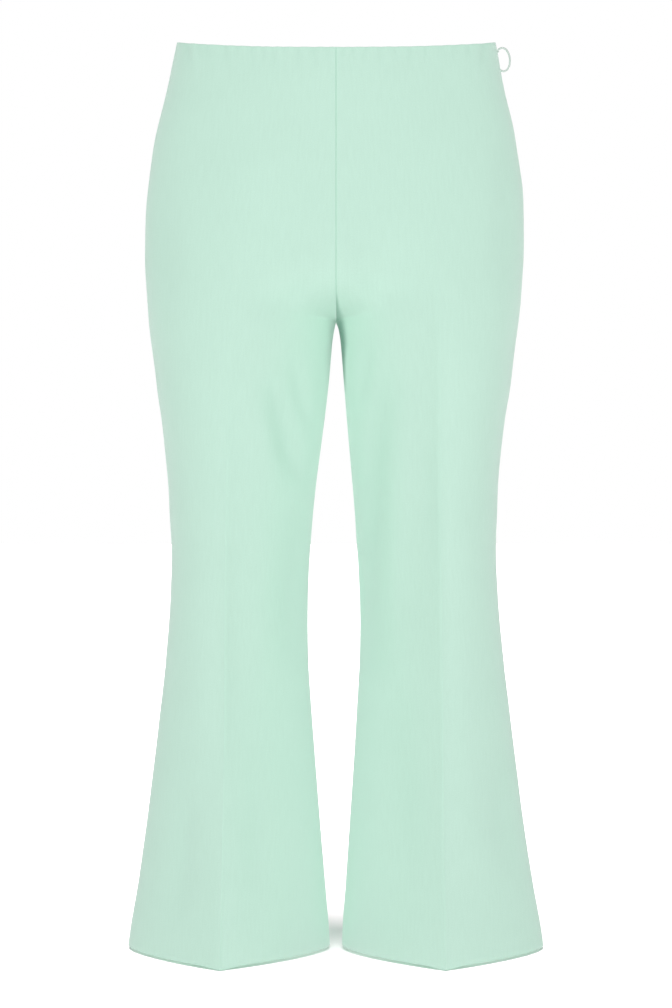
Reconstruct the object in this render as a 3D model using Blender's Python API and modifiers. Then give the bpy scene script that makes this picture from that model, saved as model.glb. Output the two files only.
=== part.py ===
"""Flared trousers, hollow and filled out as worn, with a hidden zip in the left side seam.

The origin is the centre of the waist, level with the top of the side seams. +Z is up, the front
faces -Y and the left leg is at +X. Every size is in metres. Each panel is a loft of rows from its
inner edge (centre seam, crotch seam, inseam) to the side seam, given a wall by Solidify.
"""

from bisect import bisect_right
from math import acos, cos, exp, hypot, pi, radians, sin
from typing import NamedTuple

import bmesh
import bpy
from mathutils import Vector

GARMENT = "flared_trousers"

# Cloth
WALL = 0.0018
SEAM_GAP = 0.0003

# Heights of the crotch and the hem below the top of the side seams
CROTCH_SEAM_START = -0.205
CROTCH_POINT = -0.265
SIDE_AT_CROTCH = -0.290
HEM = -0.859

# The crotch point lies a little behind the side seams, and the crotch seam is squarer in front
CROTCH_POINT_Y = 0.005
FRONT_SCOOP = 2.7
BACK_SCOOP = 2.2

# The oval above the crotch is squarer than an ellipse (exponent 2), and the cloth takes the legs'
# shape gradually over this range of heights, away from the crotch seam
FRONT_SQUARENESS = 2.25
BACK_SQUARENESS = 2.35
LEGS_BEGIN = -0.090
LEGS_PARTED = -0.345
CREASE_SHARE = 0.6

# The waist edge falls towards the front, on a slight curve, and rises towards the back, per metre
# of depth
FRONT_WAIST_FALL = 0.26
FRONT_WAIST_CURVE = 0.17
BACK_WAIST_RISE = 0.08

# Rows and columns of each panel
CROTCH_ROWS = 8
LEG_ROWS = 18
LEG_ROW_EASE = 1.2
HIP_ROW_HEIGHTS = (
    (0.0, -0.004, -0.009, -0.014, -0.020, -0.028)
    + (-0.037, -0.054, -0.080, -0.110, -0.142, -0.174)
)
HALF_COLUMNS = (0.0, 0.022, 0.062, 0.120, 0.195, 0.290, 0.395, 0.5)


class Outline(NamedTuple):
    """Front view at one height: half-widths over both legs and of the gap, and their sway to +X."""

    height: float
    outer: float
    outer_sway: float
    gap: float
    gap_sway: float


OUTLINES = (
    Outline(0.000, 0.1510, 0.0004, 0.0, 0.0),
    Outline(-0.036, 0.1581, -0.0002, 0.0, 0.0),
    Outline(-0.074, 0.1665, -0.0005, 0.0, 0.0),
    Outline(-0.112, 0.1741, -0.0007, 0.0, 0.0),
    Outline(-0.150, 0.1783, -0.0008, 0.0, 0.0),
    Outline(-0.207, 0.1790, -0.0016, 0.0, 0.0),
    Outline(-0.245, 0.1771, -0.0020, 0.0, 0.0),
    Outline(-0.265, 0.1751, -0.0021, 0.0, 0.0),
    Outline(-0.283, 0.1731, -0.0022, 0.0032, 0.0004),
    Outline(-0.321, 0.1682, -0.0023, 0.0070, 0.0004),
    Outline(-0.359, 0.1628, -0.0026, 0.0107, -0.0003),
    Outline(-0.397, 0.1585, -0.0028, 0.0149, -0.0012),
    Outline(-0.435, 0.1555, -0.0026, 0.0188, -0.0018),
    Outline(-0.473, 0.1541, -0.0021, 0.0219, -0.0021),
    Outline(-0.511, 0.1546, -0.0018, 0.0240, -0.0021),
    Outline(-0.549, 0.1568, -0.0015, 0.0250, -0.0019),
    Outline(-0.587, 0.1604, -0.0012, 0.0243, -0.0019),
    Outline(-0.625, 0.1647, -0.0010, 0.0221, -0.0018),
    Outline(-0.682, 0.1715, -0.0009, 0.0183, -0.0013),
    Outline(-0.739, 0.1787, -0.0008, 0.0142, -0.0010),
    Outline(-0.796, 0.1871, -0.0004, 0.0099, -0.0005),
    Outline(-0.834, 0.1936, -0.0002, 0.0070, -0.0003),
    Outline(-0.859, 0.1972, -0.0001, 0.0057, 0.0),
)


class HipDepth(NamedTuple):
    """Depth of the one hollow above the crotch, from the side seams to its front and back."""

    height: float
    front: float
    back: float


HIP_DEPTHS = (
    HipDepth(0.000, 0.090, 0.096),
    HipDepth(-0.074, 0.0965, 0.108),
    HipDepth(-0.135, 0.1010, 0.118),
    HipDepth(-0.190, 0.1020, 0.121),
    HipDepth(-0.245, 0.1000, 0.117),
    HipDepth(-0.300, 0.0980, 0.110),
)


class LegDepth(NamedTuple):
    """Depth of one leg at its creases, their place, and how pointed they are (0 round, 1 straight)."""

    height: float
    front: float
    back: float
    crease: float
    crease_sway: float
    point: float


LEG_DEPTHS = (
    LegDepth(0.000, 0.078, 0.084, 0.0800, 0.0, 0.0),
    LegDepth(-0.120, 0.092, 0.108, 0.0880, 0.0, 0.0),
    LegDepth(-0.200, 0.096, 0.115, 0.0915, -0.0005, 0.0),
    LegDepth(-0.269, 0.096, 0.108, 0.0925, -0.0010, 0.0),
    LegDepth(-0.321, 0.092, 0.098, 0.0932, -0.0015, 0.03),
    LegDepth(-0.397, 0.084, 0.088, 0.0945, -0.0025, 0.09),
    LegDepth(-0.473, 0.078, 0.079, 0.0952, -0.0030, 0.16),
    LegDepth(-0.549, 0.075, 0.075, 0.0965, -0.0025, 0.25),
    LegDepth(-0.625, 0.077, 0.078, 0.0980, -0.0022, 0.34),
    LegDepth(-0.739, 0.087, 0.090, 0.1000, -0.0025, 0.46),
    LegDepth(-0.859, 0.102, 0.105, 0.1018, -0.0030, 0.57),
)


class Fold(NamedTuple):
    """A soft fold of one panel along a line in the front view: a trough, or a ridge if negative."""

    panel: str
    top_x: float
    top_z: float
    foot_x: float
    foot_z: float
    depth: float
    half_width: float


FOLDS = (
    Fold("front_right", -0.060, -0.322, -0.034, -0.420, 0.0030, 0.011),
    Fold("front_left", 0.045, -0.312, 0.026, -0.520, 0.0030, 0.012),
    Fold("back_left", 0.030, -0.282, 0.105, -0.262, 0.0038, 0.014),
    Fold("back_left", 0.040, -0.345, 0.118, -0.318, 0.0026, 0.014),
    Fold("back_right", -0.034, -0.286, -0.112, -0.264, 0.0040, 0.014),
    Fold("back_right", -0.030, -0.352, -0.096, -0.330, 0.0024, 0.013),
    Fold("back_left", 0.060, -0.455, 0.128, -0.475, 0.0022, 0.015),
    Fold("back_right", -0.066, -0.480, -0.126, -0.462, 0.0020, 0.015),
)


class MouthWidth(NamedTuple):
    """Half the opening of the left side seam round the zip's slider, at one height."""

    height: float
    half: float


ZIP_MOUTH = (
    MouthWidth(0.000, 0.00015),
    MouthWidth(-0.004, 0.0012),
    MouthWidth(-0.009, 0.0021),
    MouthWidth(-0.014, 0.0019),
    MouthWidth(-0.020, 0.0016),
    MouthWidth(-0.028, 0.0012),
    MouthWidth(-0.037, 0.00015),
    MouthWidth(-0.054, 0.00015),
)

# Zip tape, inside the left side seam, cut away round the slider
TAPE_TOP = -0.003
TAPE_FOOT = -0.185
TAPE_HALF_WIDTH = 0.013
TAPE_THICKNESS = 0.0008
TAPE_NOTCH_HALF_WIDTH = 0.0040
TAPE_NOTCH_FOOT = -0.0290
TAPE_GAP = 0.0007

# Slider: a small block inside the seam with a staple that stands out through the mouth
SLIDER_SIZE = (0.0038, 0.0056, 0.0090)
SLIDER_CENTRE = (0.1482, 0.0, -0.0098)
SLIDER_ROUNDING = 0.0006
STAPLE_WIRE_RADIUS = 0.00045
STAPLE_HALF_SPAN = 0.00145
STAPLE_REACH = 0.1546
STAPLE_HEIGHT = -0.00915

# Pull: an oval wire ring that hangs from the staple and leans on the seam
PULL_WIRE_RADIUS = 0.00095
PULL_CENTRE = (0.1586, 0.0, -0.01625)
PULL_HALF_HEIGHT = 0.01102
PULL_HALF_WIDTH = 0.00665
PULL_TILT = radians(5.5)
PULL_POINTS = 36

MINT = (0.578, 0.831, 0.701, 1.0)
TAPE_MINT = (0.52, 0.77, 0.65, 1.0)
ENAMEL = (0.56, 0.66, 0.60, 1.0)


def lookup(table, column, height):
    """A table's column at a height, on a smooth curve through its rows, which run downwards."""
    heights = [-row.height for row in table]
    values = [getattr(row, column) for row in table]
    at = min(max(-height, heights[0]), heights[-1])
    low = min(max(bisect_right(heights, at) - 1, 0), len(heights) - 2)

    def slope(k):
        before, after = max(k - 1, 0), min(k + 1, len(heights) - 1)
        return (values[after] - values[before]) / (heights[after] - heights[before])

    step = heights[low + 1] - heights[low]
    t = (at - heights[low]) / step
    rise = values[low + 1] - values[low]
    start, finish = slope(low) * step, slope(low + 1) * step
    curve = (start - rise) * (1 - t) + (rise - finish) * t
    return values[low] + rise * t + t * (1 - t) * curve


class Row(NamedTuple):
    """One row of a panel: heights of its ends, and how far its section has parted into a leg."""

    side: float
    inner: float
    parting: float


def crotch_seam(face):
    """Points (height, y) of the crotch seam in the plane of the legs' parting, evenly spaced."""
    if face == "front":
        start, scoop = -lookup(HIP_DEPTHS, "front", CROTCH_SEAM_START), FRONT_SCOOP
    else:
        start, scoop = lookup(HIP_DEPTHS, "back", CROTCH_SEAM_START), BACK_SCOOP
    fine = 400
    curve = []
    for k in range(fine + 1):
        turn = pi / 2 * k / fine
        y = CROTCH_POINT_Y + (start - CROTCH_POINT_Y) * cos(turn) ** (2 / scoop)
        z = CROTCH_SEAM_START + (CROTCH_POINT - CROTCH_SEAM_START) * sin(turn) ** (2 / scoop)
        curve.append((z, y))
    lengths = [0.0]
    for (z0, y0), (z1, y1) in zip(curve, curve[1:]):
        lengths.append(lengths[-1] + hypot(z1 - z0, y1 - y0))
    points = []
    for k in range(1, CROTCH_ROWS + 1):
        wanted = lengths[-1] * sin(pi / 2 * k / CROTCH_ROWS)
        at = min(bisect_right(lengths, wanted), fine)
        points.append(curve[at])
    points[-1] = (CROTCH_POINT, CROTCH_POINT_Y)
    return points


def panel_rows(face):
    """The rows of a front or back panel, from the waist to the hem."""
    rows = []
    for height in HIP_ROW_HEIGHTS + (CROTCH_SEAM_START,):
        rows.append(Row(height, height, 0.0))
    for k, (height, y) in enumerate(crotch_seam(face), start=1):
        down = k / CROTCH_ROWS
        side = CROTCH_SEAM_START + (SIDE_AT_CROTCH - CROTCH_SEAM_START) * down
        depth = lookup(HIP_DEPTHS, face, height)
        start = -depth if face == "front" else depth
        rows.append(Row(side, height, (y - start) / (CROTCH_POINT_Y - start)))
    for k in range(1, LEG_ROWS + 1):
        down = (k / LEG_ROWS) ** LEG_ROW_EASE
        side = SIDE_AT_CROTCH + (HEM - SIDE_AT_CROTCH) * down
        inner = CROTCH_POINT + (HEM - CROTCH_POINT) * down
        rows.append(Row(side, inner, 1.0))
    return rows


def hip_point(outer, crease, depth, squareness, column):
    """(x, y) on the oval above the crotch, for a column from 0 at the centre to 1 at the side."""
    power = 2 / squareness
    crease_turn = acos((crease / outer) ** (1 / power))
    if column <= 0.5:
        turn = pi / 2 + (crease_turn - pi / 2) * column * 2
    else:
        turn = crease_turn * (2 - column * 2)
    return outer * abs(cos(turn)) ** power, depth * abs(sin(turn)) ** power


def leg_point(inner, outer, crease, depth, point, seam_y, column):
    """(x, y) on one leg's arch, for a column from 0 at the inseam through the crease to 1."""
    across = cos(pi * column)
    rise = (1 - point) * sin(pi * column) + point * (1 - abs(across))
    if column <= 0.5:
        return crease - (crease - inner) * across, seam_y + (depth - seam_y) * rise
    return crease - (outer - crease) * across, depth * rise


def smooth_step(value):
    """An even S-curve from 0 to 1."""
    value = min(max(value, 0.0), 1.0)
    return value * value * (3 - 2 * value)


def parting_at(row, height, column):
    """How far the cloth has taken the leg's shape, set by the crotch seam at the inner edge."""
    along_leg = smooth_step((height - LEGS_BEGIN) / (LEGS_PARTED - LEGS_BEGIN))
    return row.parting + (along_leg - row.parting) * smooth_step(column / CREASE_SHARE)


def waist_slant(y, height):
    """How far a place stands above or below its level row, fading down to the crotch seam."""
    if height <= CROTCH_SEAM_START:
        return 0.0
    left = 1 - height / CROTCH_SEAM_START
    if y > 0:
        return BACK_WAIST_RISE * y * left
    waist_depth = HIP_DEPTHS[0].front
    return FRONT_WAIST_FALL * y * (-y / waist_depth) ** FRONT_WAIST_CURVE * left


def fold_depth(panel, x, z):
    """How far a panel's folds push its cloth inwards at a place of the front view."""
    total = 0.0
    for fold in FOLDS:
        if fold.panel != panel:
            continue
        run_x, run_z = fold.foot_x - fold.top_x, fold.foot_z - fold.top_z
        length = hypot(run_x, run_z)
        along = ((x - fold.top_x) * run_x + (z - fold.top_z) * run_z) / length**2
        aside = ((x - fold.top_x) * run_z - (z - fold.top_z) * run_x) / length
        if 0 < along < 1:
            total += fold.depth * sin(pi * along) ** 0.7 * exp(-((aside / fold.half_width) ** 2))
    return total


def panel_point(face, side, row, column):
    """The outer surface of a panel at a row and a column from 0, its inner edge, to 1."""
    height = row.side + (row.inner - row.side) * cos(pi / 2 * column) ** 2
    left = side == "left"
    sign = 1 if left else -1
    front = face == "front"
    towards = -1 if front else 1
    outer = lookup(OUTLINES, "outer", height) + sign * lookup(OUTLINES, "outer_sway", height)
    gap = lookup(OUTLINES, "gap", height) + sign * lookup(OUTLINES, "gap_sway", height)
    crease = lookup(LEG_DEPTHS, "crease", height) + sign * lookup(LEG_DEPTHS, "crease_sway", height)
    inner = max(gap, 0.0) if row.inner < CROTCH_POINT else 0.0
    squareness = FRONT_SQUARENESS if front else BACK_SQUARENESS
    hip_x, hip_y = hip_point(outer, crease, lookup(HIP_DEPTHS, face, height), squareness, column)
    seam_y = towards * CROTCH_POINT_Y
    leg_x, leg_y = leg_point(
        inner,
        outer,
        crease,
        lookup(LEG_DEPTHS, face, height),
        lookup(LEG_DEPTHS, "point", height),
        seam_y * (HEM - height) / (HEM - CROTCH_POINT),
        column,
    )
    parting = parting_at(row, height, column)
    x = hip_x + (leg_x - hip_x) * parting
    y = towards * (hip_y + (leg_y - hip_y) * parting)
    y -= towards * fold_depth(f"{face}_{side}", sign * x, height) * sin(pi * column)
    height += waist_slant(y, height)
    if column == 0:
        if row.inner >= CROTCH_POINT:
            x = SEAM_GAP / 2
        if row.inner <= CROTCH_POINT:
            y += towards * SEAM_GAP / 2
    if column == 1:
        has_zip = left and height > ZIP_MOUTH[-1].height
        y = towards * (lookup(ZIP_MOUTH, "half", height) if has_zip else SEAM_GAP / 2)
    return Vector((sign * x, y, height))


def panel_columns():
    """Columns from the inner edge to the side seam, closer together at both seams."""
    return HALF_COLUMNS + tuple(1 - column for column in reversed(HALF_COLUMNS[:-1]))


def make_material(name, colour, roughness, metallic=0.0):
    """A Principled material of one colour."""
    material = bpy.data.materials.new(name)
    material.use_nodes = True
    shader = material.node_tree.nodes["Principled BSDF"]
    shader.inputs["Base Color"].default_value = colour
    shader.inputs["Roughness"].default_value = roughness
    shader.inputs["Metallic"].default_value = metallic
    return material


def grid_object(name, grid, flip, material, collection, skip=None):
    """An open surface object through a grid of points, given as a list of rows."""
    mesh = bpy.data.meshes.new(name)
    bm = bmesh.new()
    verts = [[bm.verts.new(point) for point in line] for line in grid]
    for r in range(len(grid) - 1):
        for c in range(len(grid[0]) - 1):
            if skip and skip(r, c):
                continue
            corners = [verts[r][c], verts[r + 1][c], verts[r + 1][c + 1], verts[r][c + 1]]
            bm.faces.new(reversed(corners) if flip else corners)
    for vert in [v for v in bm.verts if not v.link_faces]:
        bm.verts.remove(vert)
    bm.to_mesh(mesh)
    bm.free()
    mesh.shade_smooth()
    mesh.materials.append(material)
    thing = bpy.data.objects.new(name, mesh)
    collection.objects.link(thing)
    return thing


def add_wall(thing, thickness):
    """Give an open surface its thickness on its inner side."""
    wall = thing.modifiers.new("wall", "SOLIDIFY")
    wall.thickness = thickness
    wall.offset = -1
    wall.use_quality_normals = True


def make_panel(face, side, parent, material, collection):
    """One cut panel, from waist to hem."""
    rows = panel_rows(face)
    grid = [[panel_point(face, side, row, column) for column in panel_columns()] for row in rows]
    outward_as_listed = (face == "front") == (side == "left")
    panel = grid_object(f"{face}_{side}", grid, not outward_as_listed, material, collection)
    add_wall(panel, WALL)
    panel.parent = parent
    return panel


def seam_inside(height, y):
    """A point of the tape's outer side, just inside the wall beside the left side seam."""
    outer = lookup(OUTLINES, "outer", height) + lookup(OUTLINES, "outer_sway", height)
    depth = lookup(HIP_DEPTHS, "front" if y < 0 else "back", height)
    squareness = FRONT_SQUARENESS if y < 0 else BACK_SQUARENESS
    x = outer * (1 - abs(y / depth) ** squareness) ** (1 / squareness)
    return Vector((x - WALL - TAPE_GAP, y, height + waist_slant(y, height)))


def make_zip_tape(parent, material, collection):
    """The tape of the hidden zip, parted at its top round the slider."""
    notch, edge = TAPE_NOTCH_HALF_WIDTH, TAPE_HALF_WIDTH
    across = (-edge, -(edge + notch) / 2, -notch, 0.0, notch, (edge + notch) / 2, edge)
    heights = [TAPE_TOP, -0.0095, -0.016, -0.0225, TAPE_NOTCH_FOOT]
    steps = 7
    heights += [TAPE_NOTCH_FOOT + (TAPE_FOOT - TAPE_NOTCH_FOOT) * k / steps for k in range(1, steps + 1)]
    grid = [[seam_inside(height, y) for y in across] for height in heights]

    def in_notch(r, c):
        return heights[r + 1] >= TAPE_NOTCH_FOOT and abs(across[c] + across[c + 1]) / 2 < notch

    tape = grid_object("zip_tape", grid, False, material, collection, in_notch)
    add_wall(tape, TAPE_THICKNESS)
    tape.parent = parent
    return tape


def wire_object(name, points, radius, cyclic, collection):
    """A round wire along points, as a curve with a bevel."""
    curve = bpy.data.curves.new(name, "CURVE")
    curve.dimensions = "3D"
    curve.bevel_depth = radius
    curve.bevel_resolution = 2
    curve.use_fill_caps = not cyclic
    spline = curve.splines.new("POLY")
    spline.points.add(len(points) - 1)
    for knot, place in zip(spline.points, points):
        knot.co = (*place, 1.0)
    spline.use_cyclic_u = cyclic
    thing = bpy.data.objects.new(name, curve)
    collection.objects.link(thing)
    return thing


def as_mesh_object(wire, collection):
    """A closed mesh copy of a wire, which is then removed."""
    bpy.context.view_layer.update()
    evaluated = wire.evaluated_get(bpy.context.evaluated_depsgraph_get())
    mesh = bpy.data.meshes.new_from_object(evaluated)
    bm = bmesh.new()
    bm.from_mesh(mesh)
    bmesh.ops.remove_doubles(bm, verts=bm.verts, dist=0.00001)
    bm.to_mesh(mesh)
    bm.free()
    thing = bpy.data.objects.new(wire.name + "_mesh", mesh)
    thing.matrix_world = wire.matrix_world
    collection.objects.link(thing)
    bpy.data.objects.remove(wire)
    return thing


def make_zip_slider(parent, material, collection, cutters):
    """The slider's block with the staple that carries the pull."""
    mesh = bpy.data.meshes.new("zip_slider")
    bm = bmesh.new()
    bmesh.ops.create_cube(bm, size=1.0)
    bmesh.ops.scale(bm, vec=SLIDER_SIZE, verts=bm.verts)
    bmesh.ops.bevel(bm, geom=bm.edges[:], offset=SLIDER_ROUNDING, segments=2, profile=0.5, affect="EDGES")
    bm.to_mesh(mesh)
    bm.free()
    mesh.materials.append(material)
    slider = bpy.data.objects.new("zip_slider", mesh)
    slider.location = SLIDER_CENTRE
    slider.parent = parent
    collection.objects.link(slider)

    root_x = SLIDER_CENTRE[0]
    corner = STAPLE_WIRE_RADIUS
    bends = [
        (root_x, -STAPLE_HALF_SPAN, STAPLE_HEIGHT),
        (STAPLE_REACH - corner, -STAPLE_HALF_SPAN, STAPLE_HEIGHT),
        (STAPLE_REACH, -STAPLE_HALF_SPAN + corner, STAPLE_HEIGHT),
        (STAPLE_REACH, STAPLE_HALF_SPAN - corner, STAPLE_HEIGHT),
        (STAPLE_REACH - corner, STAPLE_HALF_SPAN, STAPLE_HEIGHT),
        (root_x, STAPLE_HALF_SPAN, STAPLE_HEIGHT),
    ]
    staple = as_mesh_object(wire_object("staple", bends, STAPLE_WIRE_RADIUS, False, cutters), cutters)
    staple.hide_render = True
    staple.display_type = "WIRE"
    join = slider.modifiers.new("staple", "BOOLEAN")
    join.operation = "UNION"
    join.object = staple
    return slider


def make_zip_pull(parent, material, collection):
    """The oval ring, whose parent empty lies on the staple's bar, its hinge."""
    hinge = bpy.data.objects.new("zip_pull_hinge", None)
    hinge.location = (STAPLE_REACH, 0.0, STAPLE_HEIGHT)
    hinge.parent = parent
    collection.objects.link(hinge)
    offset = Vector(PULL_CENTRE) - hinge.location
    points = []
    for k in range(PULL_POINTS):
        turn = 2 * pi * k / PULL_POINTS
        wide, tall = PULL_HALF_WIDTH * cos(turn), PULL_HALF_HEIGHT * sin(turn)
        x = wide * cos(PULL_TILT) - tall * sin(PULL_TILT)
        z = wide * sin(PULL_TILT) + tall * cos(PULL_TILT)
        points.append(offset + Vector((x, 0.0, z)))
    pull = wire_object("zip_pull", points, PULL_WIRE_RADIUS, True, collection)
    pull.data.materials.append(material)
    pull.parent = hinge
    return pull


def clear_scene():
    """Remove what the scene holds."""
    for thing in list(bpy.data.objects):
        bpy.data.objects.remove(thing, do_unlink=True)


def main():
    """Build the garment."""
    clear_scene()
    parts = bpy.data.collections.new(GARMENT)
    cutters = bpy.data.collections.new("cutters")
    for collection in (parts, cutters):
        bpy.context.scene.collection.children.link(collection)
    garment = bpy.data.objects.new("garment", None)
    parts.objects.link(garment)
    for face in ("front", "back"):
        for side in ("left", "right"):
            cloth = make_material(f"{face}_{side}_cloth", MINT, 0.85)
            make_panel(face, side, garment, cloth, parts)
    make_zip_tape(garment, make_material("zip_tape", TAPE_MINT, 0.8), parts)
    make_zip_slider(garment, make_material("zip_slider", ENAMEL, 0.4, 0.3), parts, cutters)
    make_zip_pull(garment, make_material("zip_pull", ENAMEL, 0.35, 0.3), parts)


main()
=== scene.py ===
"""Dressed model of the flared trousers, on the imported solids.

The garment stands filled out, its front towards -Y and its left leg at +X. Its four cloth panels
are thin shells on the form of their solids, with seam allowances, a turned waist edge and a turned
hem inside. The hidden zip of the left side seam has its tape, coil, slider and ring. All sizes are
in metres.
"""

import logging
from dataclasses import dataclass, field
from enum import Enum
from math import atan2, cos, hypot, pi, radians, sin
from typing import Any, Iterable, Sequence

import bmesh
import bpy
import numpy as np
from mathutils import Matrix, Vector


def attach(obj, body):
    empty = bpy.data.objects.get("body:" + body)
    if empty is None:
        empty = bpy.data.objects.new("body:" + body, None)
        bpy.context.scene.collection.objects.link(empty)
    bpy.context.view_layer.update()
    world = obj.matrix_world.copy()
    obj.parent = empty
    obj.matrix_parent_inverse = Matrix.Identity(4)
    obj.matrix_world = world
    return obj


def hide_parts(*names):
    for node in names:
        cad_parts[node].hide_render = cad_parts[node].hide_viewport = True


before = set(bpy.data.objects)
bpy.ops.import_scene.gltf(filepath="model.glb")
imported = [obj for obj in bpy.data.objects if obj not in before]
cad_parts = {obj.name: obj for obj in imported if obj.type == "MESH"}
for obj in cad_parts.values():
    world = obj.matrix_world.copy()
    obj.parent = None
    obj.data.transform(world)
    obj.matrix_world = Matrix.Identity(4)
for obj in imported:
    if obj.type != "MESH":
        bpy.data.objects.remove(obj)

LOG = logging.getLogger("flared_trousers")
Point = tuple[float, float, float]


# ---------------------------------------------------------------- form of the garment


class Face(Enum):
    """The two faces of the garment, by which way along Y each looks."""

    FRONT = -1
    BACK = 1


class Side(Enum):
    """The two legs, by their place along X."""

    LEFT = 1
    RIGHT = -1


@dataclass(frozen=True)
class HeightTable:
    """Sizes against height, on a smooth curve through rows that run downwards."""

    names: tuple[str, ...]
    rows: tuple[tuple[float, ...], ...]

    def at(self, name: str, height: np.ndarray) -> np.ndarray:
        """One column of the table at many heights.

        Args:
            name: The column.
            height: Heights, zero at the waist and falling.

        Returns:
            The column's value at each height.
        """
        grid = np.array(self.rows)
        knots, values = -grid[:, 0], grid[:, 1 + self.names.index(name)]
        at = np.clip(-height, knots[0], knots[-1])
        low = np.clip(np.searchsorted(knots, at, side="right") - 1, 0, len(knots) - 2)
        index = np.arange(len(knots))
        before, after = np.maximum(index - 1, 0), np.minimum(index + 1, len(knots) - 1)
        slopes = (values[after] - values[before]) / (knots[after] - knots[before])
        step = knots[low + 1] - knots[low]
        t = (at - knots[low]) / step
        rise = values[low + 1] - values[low]
        curve = (slopes[low] * step - rise) * (1 - t) + (rise - slopes[low + 1] * step) * t
        return values[low] + rise * t + t * (1 - t) * curve

    def swayed(self, name: str, height: np.ndarray, sign: int = 1) -> np.ndarray:
        """A column with its sway, added for the left leg (1) and taken off for the right (-1)."""
        return self.at(name, height) + sign * self.at(f"{name}_sway", height)


OUTLINES = HeightTable(
    ("outer", "outer_sway", "gap", "gap_sway"),
    (
        (0.000, 0.1510, 0.0004, 0.0, 0.0),
        (-0.036, 0.1581, -0.0002, 0.0, 0.0),
        (-0.074, 0.1665, -0.0005, 0.0, 0.0),
        (-0.112, 0.1741, -0.0007, 0.0, 0.0),
        (-0.150, 0.1783, -0.0008, 0.0, 0.0),
        (-0.207, 0.1790, -0.0016, 0.0, 0.0),
        (-0.245, 0.1771, -0.0020, 0.0, 0.0),
        (-0.265, 0.1751, -0.0021, 0.0, 0.0),
        (-0.271, 0.1745, -0.0021, 0.0019, 0.0002),
        (-0.283, 0.1731, -0.0022, 0.0038, 0.0004),
        (-0.321, 0.1682, -0.0023, 0.0070, 0.0004),
        (-0.359, 0.1628, -0.0026, 0.0107, -0.0003),
        (-0.397, 0.1585, -0.0028, 0.0149, -0.0012),
        (-0.435, 0.1555, -0.0026, 0.0188, -0.0018),
        (-0.473, 0.1541, -0.0021, 0.0219, -0.0021),
        (-0.511, 0.1546, -0.0018, 0.0240, -0.0021),
        (-0.549, 0.1568, -0.0015, 0.0250, -0.0019),
        (-0.587, 0.1604, -0.0012, 0.0243, -0.0019),
        (-0.625, 0.1647, -0.0010, 0.0221, -0.0018),
        (-0.682, 0.1715, -0.0009, 0.0183, -0.0013),
        (-0.739, 0.1787, -0.0008, 0.0142, -0.0010),
        (-0.796, 0.1871, -0.0004, 0.0099, -0.0005),
        (-0.834, 0.1936, -0.0002, 0.0070, -0.0003),
        (-0.859, 0.1972, -0.0001, 0.0057, 0.0),
    ),
)
HIP_DEPTHS = HeightTable(
    ("FRONT", "BACK"),
    (
        (0.000, 0.090, 0.096),
        (-0.074, 0.0965, 0.108),
        (-0.135, 0.1010, 0.118),
        (-0.190, 0.1020, 0.121),
        (-0.245, 0.1000, 0.117),
        (-0.300, 0.0980, 0.110),
    ),
)
LEG_DEPTHS = HeightTable(
    ("FRONT", "BACK", "crease", "crease_sway", "point"),
    (
        (0.000, 0.078, 0.084, 0.0800, 0.0, 0.0),
        (-0.120, 0.092, 0.108, 0.0880, 0.0, 0.0),
        (-0.200, 0.096, 0.115, 0.0915, -0.0005, 0.0),
        (-0.269, 0.096, 0.108, 0.0940, -0.0010, 0.0),
        (-0.321, 0.092, 0.098, 0.0955, -0.0015, 0.03),
        (-0.397, 0.084, 0.088, 0.0970, -0.0025, 0.09),
        (-0.473, 0.078, 0.079, 0.0980, -0.0030, 0.16),
        (-0.549, 0.075, 0.075, 0.0993, -0.0025, 0.25),
        (-0.625, 0.077, 0.078, 0.0995, -0.0022, 0.34),
        (-0.739, 0.087, 0.090, 0.1000, -0.0025, 0.46),
        (-0.859, 0.102, 0.105, 0.1018, -0.0030, 0.57),
    ),
)
ZIP_MOUTH = HeightTable(
    ("half",),
    (
        (0.000, 0.00015),
        (-0.004, 0.0012),
        (-0.009, 0.0021),
        (-0.014, 0.0019),
        (-0.020, 0.0016),
        (-0.028, 0.0012),
        (-0.037, 0.00015),
        (-0.054, 0.00015),
    ),
)


def smooth_step(value: np.ndarray) -> np.ndarray:
    """An even S-curve from 0 to 1."""
    value = np.clip(value, 0.0, 1.0)
    return value * value * (3 - 2 * value)


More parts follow.
